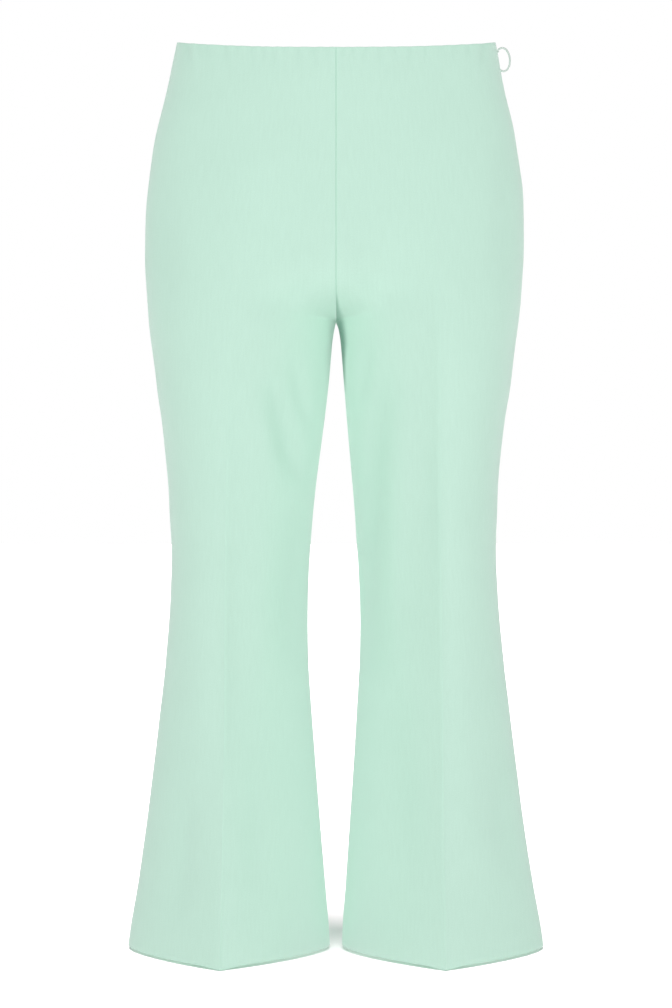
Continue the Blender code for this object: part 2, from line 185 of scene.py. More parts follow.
@dataclass(frozen=True)
class TrouserForm:
    """The outer surface of the four panels, from the same sizes as the solids."""

    crotch_seam_start: float = -0.205
    crotch_point: float = -0.265
    crotch_point_y: float = 0.005
    side_at_crotch: float = -0.290
    hem: float = -0.859
    scoop: dict = field(default_factory=lambda: {Face.FRONT: 2.7, Face.BACK: 2.2})
    squareness: dict = field(default_factory=lambda: {Face.FRONT: 2.25, Face.BACK: 2.35})
    legs_begin: float = -0.090
    legs_parted: float = -0.345
    crease_share: float = 0.6
    front_waist_fall: float = 0.26
    front_waist_curve: float = 0.17
    front_waist_depth: float = 0.090
    back_waist_rise: float = 0.08
    hip_row_ease: float = 0.65
    leg_row_ease: float = 1.2
    hip_rows: int = 58
    crotch_rows: int = 24
    leg_rows: int = 140

    def crotch_seam(self, face: Face) -> np.ndarray:
        """Points (height, y) of the crotch seam, in the plane where the legs part."""
        depth = float(HIP_DEPTHS.at(face.name, np.array([self.crotch_seam_start]))[0])
        turn = np.linspace(0, pi / 2, 801)
        power = 2 / self.scoop[face]
        start = face.value * depth
        y = self.crotch_point_y + (start - self.crotch_point_y) * np.cos(turn) ** power
        fall = self.crotch_point - self.crotch_seam_start
        z = self.crotch_seam_start + fall * np.sin(turn) ** power
        lengths = np.concatenate([[0], np.cumsum(np.hypot(np.diff(z), np.diff(y)))])
        share = np.arange(1, self.crotch_rows + 1) / self.crotch_rows
        wanted = lengths[-1] * np.sin(pi / 2 * share)
        return np.stack([np.interp(wanted, lengths, z), np.interp(wanted, lengths, y)], axis=1)

    def rows(self, face: Face) -> np.ndarray:
        """The rows of a panel from the waist to the hem.

        Args:
            face: Front or back.

        Returns:
            One row each of: height at the side, height at the inner edge, and how far it has
            parted into a leg.
        """
        down = np.linspace(0, 1, self.hip_rows + 1)
        eased = (1 - self.hip_row_ease) * down + self.hip_row_ease * down**2
        heights = self.crotch_seam_start * eased
        hips = np.stack([heights, heights, np.zeros_like(heights)], axis=1)
        seam = self.crotch_seam(face)
        share = np.arange(1, self.crotch_rows + 1) / self.crotch_rows
        side = self.crotch_seam_start + (self.side_at_crotch - self.crotch_seam_start) * share
        start = face.value * HIP_DEPTHS.at(face.name, seam[:, 0])
        parting = (seam[:, 1] - start) / (self.crotch_point_y - start)
        crotch = np.stack([side, seam[:, 0], parting], axis=1)
        down = (np.arange(1, self.leg_rows + 1) / self.leg_rows) ** self.leg_row_ease
        side = self.side_at_crotch + (self.hem - self.side_at_crotch) * down
        inner = self.crotch_point + (self.hem - self.crotch_point) * down
        legs = np.stack([side, inner, np.ones_like(down)], axis=1)
        return np.concatenate([hips, crotch, legs])

    def waist_slant(self, y: np.ndarray, height: np.ndarray) -> np.ndarray:
        """How far a place stands above or below its level row, fading down to the crotch seam."""
        left = np.clip(1 - height / self.crotch_seam_start, 0, None)
        fall = np.clip(-y / self.front_waist_depth, 0, None) ** self.front_waist_curve
        return np.where(y > 0, self.back_waist_rise * y, self.front_waist_fall * y * fall) * left

    def surface(self, face: Face, side: Side, rows: np.ndarray, columns: np.ndarray) -> np.ndarray:
        """The outer surface of a panel.

        Args:
            face: Front or back.
            side: Left or right leg.
            rows: Rows as rows() gives them.
            columns: Places across, from 0 at the inner edge through 0.5 at the crease to 1 at the
                side seam.

        Returns:
            Points by row and column.
        """
        column = columns[None, :]
        inner_height = rows[:, 1:2]
        height = rows[:, 0:1] + (inner_height - rows[:, 0:1]) * np.cos(pi / 2 * column) ** 2
        sign, towards = side.value, face.value
        outer = OUTLINES.swayed("outer", height, sign)
        gap = OUTLINES.swayed("gap", height, sign)
        crease = LEG_DEPTHS.swayed("crease", height, sign)
        inner = np.where(inner_height < self.crotch_point - 1e-9, np.maximum(gap, 0), 0)
        in_half = column <= 0.5

        power = 2 / self.squareness[face]
        crease_turn = np.arccos((crease / outer) ** (1 / power))
        turn = np.where(
            in_half,
            pi / 2 + (crease_turn - pi / 2) * column * 2,
            crease_turn * (2 - column * 2),
        )
        hip_x = outer * np.abs(np.cos(turn)) ** power
        hip_y = HIP_DEPTHS.at(face.name, height) * np.abs(np.sin(turn)) ** power

        across = np.cos(pi * column)
        point = LEG_DEPTHS.at("point", height)
        rise = (1 - point) * np.sin(pi * column) + point * (1 - np.abs(across))
        to_hem = self.hem - self.crotch_point
        seam_y = towards * self.crotch_point_y * (self.hem - height) / to_hem
        depth = LEG_DEPTHS.at(face.name, height)
        leg_x = crease - np.where(in_half, crease - inner, outer - crease) * across
        leg_y = np.where(in_half, seam_y + (depth - seam_y) * rise, depth * rise)

        along_leg = smooth_step((height - self.legs_begin) / (self.legs_parted - self.legs_begin))
        parting = rows[:, 2:3]
        parting = parting + (along_leg - parting) * smooth_step(column / self.crease_share)
        x = hip_x + (leg_x - hip_x) * parting
        y = towards * (hip_y + (leg_y - hip_y) * parting)
        return np.stack([sign * x, y, height + self.waist_slant(y, height)], axis=2)


# ---------------------------------------------------------------- folds laid in


@dataclass(frozen=True)
class SoftFold:
    """A soft trough along a line of the front view, with a low ridge beside it.

    A negative depth makes it a ridge. swell is how far the ridge beside it stands, as a share of
    the depth, and its sign says on which side it lies. ridge_place is how far off it lies, in half
    widths.
    """

    line: tuple[tuple[float, float], ...]
    depth: float
    half_width: float
    swell: float = 0.3
    ends: float = 0.8
    ridge_place: float = 2.1

    def push(self, x: np.ndarray, z: np.ndarray) -> np.ndarray:
        """How far the fold pushes the cloth inwards at places of the front view."""
        total = sum(hypot(b[0] - a[0], b[1] - a[1]) for a, b in zip(self.line, self.line[1:]))
        nearest = np.full(x.shape, np.inf)
        along = np.zeros_like(x)
        aside = np.zeros_like(x)
        passed = 0.0
        for (ax, az), (bx, bz) in zip(self.line, self.line[1:]):
            run_x, run_z = bx - ax, bz - az
            length = hypot(run_x, run_z)
            share = np.clip(((x - ax) * run_x + (z - az) * run_z) / length**2, 0, 1)
            off_x, off_z = x - ax - share * run_x, z - az - share * run_z
            distance = np.hypot(off_x, off_z)
            closer = distance < nearest
            nearest = np.where(closer, distance, nearest)
            along = np.where(closer, (passed + share * length) / total, along)
            turned = np.sign(off_x * run_z - off_z * run_x)
            aside = np.where(closer, turned * distance, aside)
            passed += length
        strength = np.clip(np.sin(pi * along), 0, None) ** self.ends
        from_ridge = aside - np.sign(self.swell) * self.ridge_place * self.half_width
        trough = np.exp(-((aside / self.half_width) ** 2))
        ridge = np.exp(-((from_ridge / self.half_width) ** 2))
        return self.depth * strength * (trough - abs(self.swell) * ridge)


def pull(
    points: Sequence[tuple[float, float]], depth: float, width: float, swell: float = 0.3
) -> SoftFold:
    """A fold given in millimetres, as pulled by a seam."""
    line = tuple((x / 1000, z / 1000) for x, z in points)
    return SoftFold(line, depth / 1000, width / 1000, swell)


PANEL_FOLDS: dict[tuple[Face, Side], tuple[SoftFold, ...]] = {
    (Face.FRONT, Side.RIGHT): (
        pull(((-60, -322), (-47, -372), (-34, -424)), 5.4, 10, 0.35),
        pull(((-40, -300), (-33, -340), (-24, -372)), 1.9, 6, -0.4),
        pull(((-36, -440), (-42, -520), (-40, -600)), 2.7, 13, 0.3),
        pull(((-136, -690), (-140, -760), (-150, -835)), 2.5, 12, -0.4),
        pull(((-74, -640), (-72, -740), (-78, -850)), 2.0, 13, 0.3),
        pull(((-120, -560), (-124, -620), (-122, -680)), -1.5, 12, 0.2),
        pull(((-160, -120), (-156, -200), (-150, -290)), 2.2, 14, 0.2),
        pull(((-14, -232), (-44, -252), (-82, -262)), 1.5, 8, 0.4),
    ),
    (Face.FRONT, Side.LEFT): (
        pull(((45, -312), (34, -400), (28, -520), (34, -610)), 5.6, 12, -0.35),
        pull(((30, -288), (27, -318), (20, -352)), 1.7, 6, 0.4),
        pull(((84, -380), (90, -450), (92, -520)), 2.2, 10, -0.3),
        pull(((150, -655), (152, -720), (160, -790)), 1.9, 12, 0.4),
        pull(((56, -600), (60, -700), (66, -820)), 2.2, 14, -0.3),
        pull(((112, -520), (116, -640), (122, -780)), -1.5, 13, 0.2),
        pull(((158, -90), (156, -160), (150, -250)), 2.2, 14, -0.2),
        pull(((12, -228), (36, -246), (70, -252)), 1.4, 8, -0.4),
    ),
    (Face.BACK, Side.LEFT): (
        pull(((30, -282), (66, -276), (105, -262)), 4.0, 12, 0.35),
        pull(((36, -318), (74, -314), (112, -298)), 1.6, 8, -0.3),
        pull(((40, -345), (80, -338), (118, -318)), 2.8, 12, 0.35),
        pull(((60, -455), (95, -468), (128, -475)), 2.4, 12, 0.3),
        pull(((72, -500), (104, -506), (136, -496)), 1.4, 9, -0.3),
        pull(((30, -380), (36, -440), (44, -520)), 1.8, 10, 0.3),
        pull(((58, -600), (60, -700), (66, -830)), 1.4, 14, -0.3),
        pull(((146, -640), (150, -720), (158, -820)), 1.3, 13, 0.3),
    ),
    (Face.BACK, Side.RIGHT): (
        pull(((-34, -286), (-72, -280), (-112, -264)), 4.2, 12, -0.35),
        pull(((-30, -352), (-62, -346), (-96, -330)), 2.6, 11, -0.35),
        pull(((-44, -322), (-80, -314), (-108, -304)), 1.4, 7, 0.3),
        pull(((-66, -480), (-98, -476), (-126, -462)), 2.2, 12, -0.3),
        pull(((-58, -518), (-90, -522), (-118, -512)), 1.2, 9, 0.3),
        pull(((-32, -396), (-38, -450), (-46, -530)), 1.7, 10, -0.3),
        pull(((-62, -620), (-62, -720), (-70, -840)), 1.3, 14, 0.3),
        pull(((-148, -620), (-150, -700), (-160, -800)), 1.4, 13, -0.3),
    ),
}


@dataclass(frozen=True)
class WaistPuckers:
    """Short upright puckers where the waist edge is drawn in on its turned allowance.

    Each entry is the place along X in millimetres, the length in millimetres, the depth in tenths
    of drawn_in, and the half width in millimetres. drawn_in is in millimetres too. The puckers lean
    outwards on their way down, and each has a ridge ridge_place half widths beside it.
    """

    entries: tuple[tuple[float, float, float, float], ...]
    drawn_in: float = 2.0
    slant: float = 0.06
    ridge: float = 0.45
    ridge_place: float = 1.9

    def push(self, x: np.ndarray, below_edge: np.ndarray) -> np.ndarray:
        """How far the puckers push the cloth inwards, from the place and depth below the edge."""
        total = np.zeros_like(x)
        for place, length, tenths, width in self.entries:
            fade = 1 - smooth_step(below_edge / (length / 1000))
            slanted = below_edge * self.slant * np.sign(place)
            aside = (x - place / 1000 + slanted) / (width / 1000)
            pucker = np.exp(-(aside**2)) - self.ridge * np.exp(-((aside - self.ridge_place) ** 2))
            total += self.drawn_in * tenths / 10000 * fade * pucker
        return total


PUCKERS: dict[tuple[Face, Side], WaistPuckers] = {
    (Face.FRONT, Side.RIGHT): WaistPuckers(
        (
            (-138, 34, 5.0, 3.4), (-127, 22, 3.6, 2.8), (-119, 27, 4.2, 3.0), (-101, 36, 3.4, 3.6),
            (-91, 24, 4.2, 2.6), (-77, 30, 3.4, 3.0), (-67, 20, 3.6, 2.6), (-58, 27, 3.8, 2.8),
            (-48, 22, 3.0, 2.6), (-35, 26, 3.6, 3.0), (-20, 28, 4.0, 2.8), (-8, 24, 3.6, 2.2),
        )
    ),
    (Face.FRONT, Side.LEFT): WaistPuckers(
        (
            (7, 24, 4.2, 2.2), (15, 30, 3.4, 2.8), (27, 22, 3.2, 2.6), (41, 26, 2.8, 3.0),
            (54, 18, 2.6, 2.6), (68, 27, 3.0, 3.2), (82, 22, 3.2, 2.8), (97, 18, 2.6, 2.8),
            (109, 25, 3.0, 3.0), (122, 20, 3.6, 2.6), (137, 30, 4.6, 3.2),
        )
    ),
    (Face.BACK, Side.LEFT): WaistPuckers(
        (
            (9, 26, 3.8, 2.6), (24, 21, 3.0, 2.8), (39, 30, 3.4, 3.0), (66, 24, 3.2, 2.8),
            (84, 19, 2.8, 2.6), (103, 28, 3.4, 3.2), (121, 22, 3.0, 2.8), (136, 26, 4.0, 3.0),
        )
    ),
    (Face.BACK, Side.RIGHT): WaistPuckers(
        (
            (-12, 28, 3.4, 2.8), (-30, 22, 3.2, 2.6), (-44, 25, 2.8, 3.0), (-71, 20, 3.0, 2.6),
            (-90, 27, 3.4, 3.0), (-107, 22, 3.0, 2.8), (-126, 30, 3.6, 3.2), (-139, 24, 4.4, 3.0),
        )
    ),
}


@dataclass(frozen=True)
class BackDart:
    """A sewn dart from the back waist edge, a fine groove that closes to nothing."""

    place: float = 0.052
    lean: float = 0.0045
    length: float = 0.115
    closes_from: float = 0.86
    groove: float = 0.0009
    groove_half_width: float = 0.0007
    valley: float = 0.0005
    valley_half_width: float = 0.006
    tip_swell: float = 0.0012
    tip_half_length: float = 0.016
    tip_half_width: float = 0.012

    def push(self, x: np.ndarray, below_edge: np.ndarray) -> np.ndarray:
        """How far the dart pushes the cloth inwards, from the place and depth below the edge."""
        share = np.clip(below_edge / self.length, 0, 1)
        aside = np.abs(x) - self.place - self.lean * share
        closed = smooth_step((share - self.closes_from) / (1 - self.closes_from))
        sewn = (1 - closed) * np.exp(-((aside / self.groove_half_width) ** 2))
        valley = (1 - share) * np.exp(-((aside / self.valley_half_width) ** 2))
        past_tip = (below_edge - self.length) / self.tip_half_length
        tip = np.exp(-(past_tip**2) - (aside / self.tip_half_width) ** 2)
        return self.groove * sewn + self.valley * valley - self.tip_swell * tip


# ---------------------------------------------------------------- nodes written as expressions


class Sock:
    """A socket that takes part in Python expressions and adds the Math nodes they mean."""

    def __init__(self, shop: "NodeShop", socket: bpy.types.NodeSocket) -> None:
        """Wrap a socket.

        Args:
            shop: The material's node shop, which adds nodes.
            socket: The output socket.
        """
        self.shop = shop
        self.socket = socket

    def math(self, operation: str, *others: Any) -> "Sock":
        """A Math node with this socket first."""
        return self.shop.math(operation, self, *others)

    def __add__(self, other: Any) -> "Sock":
        """The sum."""
        return self.math("ADD", other)

    def __radd__(self, other: Any) -> "Sock":
        """The sum, with a number first."""
        return self.math("ADD", other)

    def __sub__(self, other: Any) -> "Sock":
        """The difference."""
        return self.math("SUBTRACT", other)

    def __rsub__(self, other: Any) -> "Sock":
        """The difference, with a number first."""
        return self.shop.math("SUBTRACT", other, self)

    def __mul__(self, other: Any) -> "Sock":
        """The product."""
        return self.math("MULTIPLY", other)

    def __rmul__(self, other: Any) -> "Sock":
        """The product, with a number first."""
        return self.math("MULTIPLY", other)

    def __truediv__(self, other: Any) -> "Sock":
        """The quotient."""
        return self.math("DIVIDE", other)

    def __rtruediv__(self, other: Any) -> "Sock":
        """The quotient, with a number first."""
        return self.shop.math("DIVIDE", other, self)

    def sine(self) -> "Sock":
        """The sine."""
        return self.math("SINE")


class NodeShop:
    """Adds nodes to one material and links them."""

    def __init__(self, name: str) -> None:
        """Start a material.

        Args:
            name: The material's name.
        """
        self.material = bpy.data.materials.new(name)
        self.material.use_nodes = True
        self.tree = self.material.node_tree
        self.shader = self.tree.nodes["Principled BSDF"]

    def feed(self, socket: bpy.types.NodeSocket, value: Any) -> None:
        """Set or link one input socket."""
        if isinstance(value, Sock):
            self.tree.links.new(value.socket, socket)
        elif value is not None:
            socket.default_value = value

    def node(
        self,
        kind: str,
        settings: dict[str, Any] | None = None,
        out: int | str = 0,
        numbered: Iterable[tuple[int, Any]] = (),
        **values: Any,
    ) -> Sock:
        """Any node.

        Args:
            kind: The node's type, without its ShaderNode prefix.
            settings: Its settings, set before its sockets.
            out: The output to return.
            numbered: Values or sockets by input number, for inputs that share a name.
            **values: Values or sockets by input name, underscores for spaces.

        Returns:
            The wrapped output.
        """
        made = self.tree.nodes.new("ShaderNode" + kind)
        for key, value in (settings or {}).items():
            setattr(made, key, value)
        for index, value in numbered:
            self.feed(made.inputs[index], value)
        for key, value in values.items():
            self.feed(made.inputs[key.replace("_", " ")], value)
        return Sock(self, made.outputs[out])

    def math(self, operation: str, *values: Any) -> Sock:
        """A Math node of any operation."""
        return self.node("Math", {"operation": operation}, 0, enumerate(values))

    def mix(self, factor: Any, first: Any, second: Any) -> Sock:
        """A mix of two colours."""
        return self.node("Mix", {"data_type": "RGBA"}, 2, ((0, factor), (6, first), (7, second)))

    def scaled(self, vector: Sock, scale: Point) -> Sock:
        """A vector times a constant vector."""
        return self.node("VectorMath", {"operation": "MULTIPLY"}, 0, ((0, vector), (1, scale)))

    def noise(self, vector: Sock, scale: float, detail: float, roughness: float) -> Sock:
        """A noise value from 0 to 1."""
        return self.node("TexNoise", Vector=vector, Scale=scale, Detail=detail, Roughness=roughness)

    def bump(self, height: Sock, strength: float, distance: float) -> Sock:
        """A normal from a height."""
        return self.node("Bump", Height=height, Strength=strength, Distance=distance)

    def weave(self) -> tuple[Sock, Sock, Sock]:
        """The piece's weave map, then its places across and along the cloth."""
        weave_map = self.node("UVMap", {"uv_map": "weave"})
        across = self.node("SeparateXYZ", Vector=weave_map)
        return weave_map, across, Sock(self, across.socket.node.outputs[1])

    def attribute(self, name: str) -> Sock:
        """A value that the piece keeps at its points."""
        return self.node("Attribute", {"attribute_name": name}, "Fac")

    def dress(self, **values: Any) -> bpy.types.Material:
        """Set or link the shader's sockets and give the material back."""
        for key, value in values.items():
            self.feed(self.shader.inputs[key.replace("_", " ")], value)
        return self.material


Colour = tuple[float, float, float, float]


@dataclass(frozen=True)
class CrepeFinish:
    """Matte crepe suiting: fine pebbled weave, soft sheen, pressed edges, painted light and shade.
    """

    name: str = "mint_crepe"
    lit: Colour = (0.610, 0.855, 0.735, 1.0)
    dip: Colour = (0.505, 0.735, 0.615, 1.0)
    # painted shade: the deeper colour along pressed seams, the crease and the edges
    pressed_shade: Colour = (0.515, 0.765, 0.635, 1.0)
    # painted shade in seams, the troughs of folds and puckers, and the crotch tuck
    crevice: Colour = (0.002, 0.195, 0.112, 1.0)
    # painted light: a redder, less green tint on the inner legs
    inner_leg_light_tint: Colour = (0.576, 0.766, 0.680, 1.0)
    thread: float = 0.00042
    pebble: float = 0.0011
    slub: float = 0.0022
    clouds: float = 14.0
    contrast: float = 1.1
    cloudiness: float = 0.18
    middle_tone: float = 0.42
    pressed_shade_share: float = 0.25
    inner_leg_tint_share: float = 0.62
    roughness: float = 0.88
    relief: float = 0.00022
    sheen: float = 0.34

    def build(self) -> bpy.types.Material:
        """Make the material.

        Returns:
            The material, which reads the panels' weave map and their values of pressing, inner leg,
            crevice and crease planes, and from them paints shade along pressed seams and edges and
            in crevices, a tint for the light on the inner legs, and light and shade on the crease's
            two planes.
        """
        shop = NodeShop(self.name)
        weave_map, across, along = shop.weave()
        place = shop.node("TexCoord", out="Object")
        turn = 2 * pi / self.thread
        threads = (across * turn).sine() * (along * turn).sine()
        pebbles = shop.noise(weave_map, 1 / self.pebble, 2.0, 0.55)
        slubs = shop.noise(shop.scaled(weave_map, (1.0, 0.12, 1.0)), 1 / self.slub, 2.0, 0.5)
        clouds = shop.noise(place, self.clouds, 3.0, 0.55)
        press_and_shade, inner = shop.attribute("press_and_shade"), shop.attribute("inner")
        crevice, facet_light_shade = shop.attribute("crevice"), shop.attribute("facet_light_shade")
        grain = pebbles * 0.52 + threads * 0.16 + slubs * 0.32 + 0.08
        tone = (grain - 0.5) * self.contrast + (clouds - 0.5) * self.cloudiness
        # the crease's two planes get painted light and shade in the cloth's tone
        colour = shop.mix(tone + self.middle_tone + facet_light_shade, self.dip, self.lit)
        # painted shade along pressed seams, the crease and the edges
        colour = shop.mix(press_and_shade * self.pressed_shade_share, colour, self.pressed_shade)
        # painted light: a redder, less green tint on the inner legs
        colour = shop.mix(inner * self.inner_leg_tint_share, colour, self.inner_leg_light_tint)
        # painted shade in seams, fold and pucker troughs and the crotch tuck
        colour = shop.mix(crevice, colour, self.crevice)
        rough = self.roughness - press_and_shade * 0.10 + (grain - 0.5) * 0.10
        normal = shop.bump(grain * (1 - press_and_shade * 0.45), 0.7, self.relief)
        return shop.dress(
            Base_Color=colour,
            Roughness=rough,
            Normal=normal,
            Sheen_Weight=self.sheen,
            Sheen_Roughness=0.42,
            Specular_IOR_Level=0.25,
        )


@dataclass(frozen=True)
class TapeFinish:
    """Woven zip tape: a fine herringbone, a little deeper in colour than the cloth."""

    name: str = "zip_tape_weave"
    light: Colour = (0.500, 0.745, 0.625, 1.0)
    dark: Colour = (0.405, 0.640, 0.520, 1.0)
    rib: float = 0.0008
    zigzag: float = 0.0034

    def build(self) -> bpy.types.Material:
        """Make the material, which reads the tape's weave map."""
        shop = NodeShop(self.name)
        weave_map, across, along = shop.weave()
        zigzag = (across / self.zigzag).math("PINGPONG", 0.5) * self.zigzag
        ribs = ((along + zigzag) * (2 * pi / self.rib)).sine() * 0.5 + 0.5
        fuzz = shop.noise(weave_map, 1500.0, 2.0, 0.6)
        height = ribs * 0.7 + fuzz * 0.3
        return shop.dress(
            Base_Color=shop.mix(height, self.dark, self.light),
            Roughness=0.82 + fuzz * 0.1,
            Normal=shop.bump(height, 0.6, 0.00018),
            Sheen_Weight=0.2,
        )


@dataclass(frozen=True)
class EnamelFinish:
    """Satin enamel in a pale grey green, rubbed to metal in scattered specks."""

    name: str = "satin_enamel"
    coat: Colour = (0.560, 0.635, 0.595, 1.0)
    deep: Colour = (0.480, 0.560, 0.515, 1.0)
    metal: Colour = (0.62, 0.61, 0.58, 1.0)
    worn: float = 0.10

    def build(self) -> bpy.types.Material:
        """Make the material, on the piece's own place."""
        shop = NodeShop(self.name)
        place = shop.node("TexCoord", out="Object")
        flow = shop.noise(place, 420.0, 3.0, 0.5)
        specks = shop.noise(place, 2600.0, 2.0, 0.6)
        rubbed = ((specks * 0.6 + flow * 0.4) - (0.72 - self.worn)) * 9.0
        rubbed = rubbed.math("MAXIMUM", 0.0).math("MINIMUM", 1.0)
        enamel = shop.mix(flow, self.deep, self.coat)
        return shop.dress(
            Base_Color=shop.mix(rubbed, enamel, self.metal),
            Metallic=rubbed * 0.9,
            Roughness=0.34 + specks * 0.12 - rubbed * 0.06,
            Normal=shop.bump(specks * 0.5 + flow * 0.5, 0.12, 0.00008),
            Coat_Weight=0.25,
            Coat_Roughness=0.2,
        )


@dataclass(frozen=True)
class CoilFinish:
    """Nylon monofilament of the zip's coil, half clear in look and satin."""

    name: str = "nylon_coil"
    light: Colour = (0.560, 0.780, 0.670, 1.0)
    dark: Colour = (0.450, 0.680, 0.565, 1.0)

    def build(self) -> bpy.types.Material:
        """Make the material, on the piece's own place."""
        shop = NodeShop(self.name)
        place = shop.node("TexCoord", out="Object")
        drawn = shop.noise(shop.scaled(place, (1.0, 1.0, 6.0)), 900.0, 2.0, 0.5)
        return shop.dress(
            Base_Color=shop.mix(drawn, self.dark, self.light),
            Roughness=0.36 + drawn * 0.14,
            Normal=shop.bump(drawn, 0.1, 0.00005),
            Coat_Weight=0.1,
        )


# ---------------------------------------------------------------- cloth panels


def mesh_object(
    name: str, points: np.ndarray, faces: list[tuple[int, ...]], material: bpy.types.Material
) -> bpy.types.Object:
    """An object at the origin from points and faces.

    Args:
        name: The piece's name.
        points: Points, one a row.
        faces: Corners of each face.
        material: Its finish.

    Returns:
        The object, linked to the scene and shaded smooth.
    """
    mesh = bpy.data.meshes.new(name)
    mesh.from_pydata(points.tolist(), [], faces)
    mesh.validate()
    mesh.shade_smooth()
    mesh.materials.append(material)
    thing = bpy.data.objects.new(name, mesh)
    bpy.context.scene.collection.objects.link(thing)
    return thing


def select_only(thing: bpy.types.Object) -> None:
    """Deselect everything, then select and activate one object."""
    bpy.ops.object.select_all(action="DESELECT")
    thing.select_set(True)
    bpy.context.view_layer.objects.active = thing


def edit_all() -> None:
    """Enter edit mode on the active object, with everything selected."""
    bpy.ops.object.mode_set(mode="EDIT")
    bpy.ops.mesh.select_all(action="SELECT")


def just_added(name: str) -> bpy.types.Object:
    """Name the object that was just added, and keep its place, turn and scale in its mesh."""
    thing = bpy.context.object
    thing.name = thing.data.name = name
    bpy.ops.object.transform_apply(location=True, rotation=True, scale=True)
    return thing


def lay_weave(mesh: bpy.types.Mesh, places: np.ndarray) -> None:
    """Give a mesh its weave map, from the place of each vertex on the flat cloth."""
    corners = np.zeros(len(mesh.loops), int)
    mesh.loops.foreach_get("vertex_index", corners)
    weave = mesh.uv_layers.new(name="weave")
    weave.data.foreach_set("uv", places[corners].astype(np.float32).ravel())


def apply_wall(thing: bpy.types.Object, thickness: float) -> None:
    """Give a sheet its thickness on its inner side and apply it."""
    wall = thing.modifiers.new("wall", "SOLIDIFY")
    wall.thickness = thickness
    wall.offset = -1
    wall.use_quality_normals = True
    select_only(thing)
    bpy.ops.object.modifier_apply(modifier=wall.name)


def sampled(at: np.ndarray, along: np.ndarray, values: np.ndarray) -> np.ndarray:
    """Read a line of values at new distances.

    Args:
        at: The distances to read at, or one distance.
        along: The distance of each value.
        values: The values, with one column for each of their parts.

    Returns:
        The values at the new distances.
    """
    return np.stack([np.interp(at, along, part) for part in values.T], axis=-1)


# Painted light and shade beside the pressed front crease: how much lighter or deeper the colour is
# made on each of its two planes. One row each of: height below the waist, tone at the crease on its
# inner side, how far that reaches, tone outside.
CREASE_LIGHT_SHADE = {
    Side.LEFT: (
        (0.215, 0.000, 0.022, 0.000),
        (0.305, -0.170, 0.022, 0.125),
        (0.373, -0.255, 0.022, 0.125),
        (0.439, -0.265, 0.025, 0.130),
        (0.506, -0.280, 0.034, 0.130),
        (0.572, -0.235, 0.042, 0.135),
        (0.639, -0.150, 0.042, 0.085),
        (0.705, -0.185, 0.032, 0.075),
        (0.767, -0.120, 0.022, 0.085),
        (0.824, -0.030, 0.020, 0.035),
        (0.860, 0.000, 0.020, 0.030),
    ),
    Side.RIGHT: (
        (0.250, 0.000, 0.010, 0.000),
        (0.373, -0.090, 0.011, 0.020),
        (0.439, -0.110, 0.011, 0.060),
        (0.506, -0.160, 0.011, 0.065),
        (0.572, -0.230, 0.012, 0.115),
        (0.639, -0.170, 0.011, 0.075),
        (0.705, -0.055, 0.010, 0.000),
        (0.767, 0.040, 0.040, -0.105),
        (0.824, 0.100, 0.045, -0.140),
        (0.860, 0.100, 0.045, -0.140),
    ),
}


@dataclass(frozen=True)
class SheetSizes:
    """How the cloth is cut and turned at its edges.

    over_allowance is how many bends further in a turning lies where it crosses an allowance.
    """

    cloth: float = 0.0007
    bend: float = 0.0008
    seam_gap: float = -0.00008
    allowance: float = 0.012
    waist_turn: float = 0.014
    hem_turn: float = 0.036
    over_allowance: float = 2.2
    bend_steps: int = 4

    def round_bend(self) -> list[tuple[float, float, float, float]]:
        """Places round a bend, from the outer face of the cloth to its turned part.

        Returns:
            For each: the angle turned, the distance from the edge of the piece, the depth inside
            the surface, and how far it is past edge-on, from 0 to 1.
        """
        places = []
        for k in range(2 * self.bend_steps + 1):
            turn = pi / 2 * k / self.bend_steps
            off, inside = self.bend * (1 - sin(turn)), self.bend * (1 - cos(turn))
            places.append((turn, off, inside, max(0.0, k / self.bend_steps - 1)))
        return places


@dataclass(frozen=True)
class Reaches:
    """How far things act from a seam, a crease, an edge or the crotch, in metres."""

    seam_hold: float = 0.010
    seam_hold_on_puckers: float = 0.003
    seam_press_and_shade: float = 0.0028
    seam_press_turned: float = 0.0025
    # reach of the painted shade along the seams
    seam_crevice: float = 0.0006
    crease_press_and_shade: float = 0.0020
    crease_stands: float = 0.014
    edge_press_and_shade: float = 0.003
    allowance_end: float = 0.008
    # reaches of the painted light and shade on the crease's planes
    plane_within: float = 0.0035
    plane_beyond: float = 0.010
    plane_fades: float = 0.034
    crease_grows: float = 0.12
    hem_lifts: float = 0.059
    # how fast the painted tint of the inner legs grows below the crotch
    inner_tint_deepens: float = 0.040


@dataclass
class LaidRows:
    """The rows of a panel as they are laid, from the waist turning to the hem turning."""

    points: list[np.ndarray] = field(default_factory=list)
    maps: list[np.ndarray] = field(default_factory=list)
    kinds: list[str] = field(default_factory=list)
    tones: dict[str, list[np.ndarray]] = field(default_factory=dict)

    def add(
        self,
        points: np.ndarray,
        across: np.ndarray,
        along: float,
        kind: str,
        tones: dict[str, np.ndarray],
    ) -> None:
        """Add one row.

        Args:
            points: Its points, by station.
            across: Their places across the cut cloth.
            along: The row's place down the cut cloth.
            kind: The part of the panel that it belongs to.
            tones: Values by name and station, which the finish reads.
        """
        self.points.append(points)
        self.maps.append(np.stack([across, np.full(len(across), along)], axis=1))
        self.kinds.append(kind)
        for name, values in tones.items():
            self.tones.setdefault(name, []).append(values)


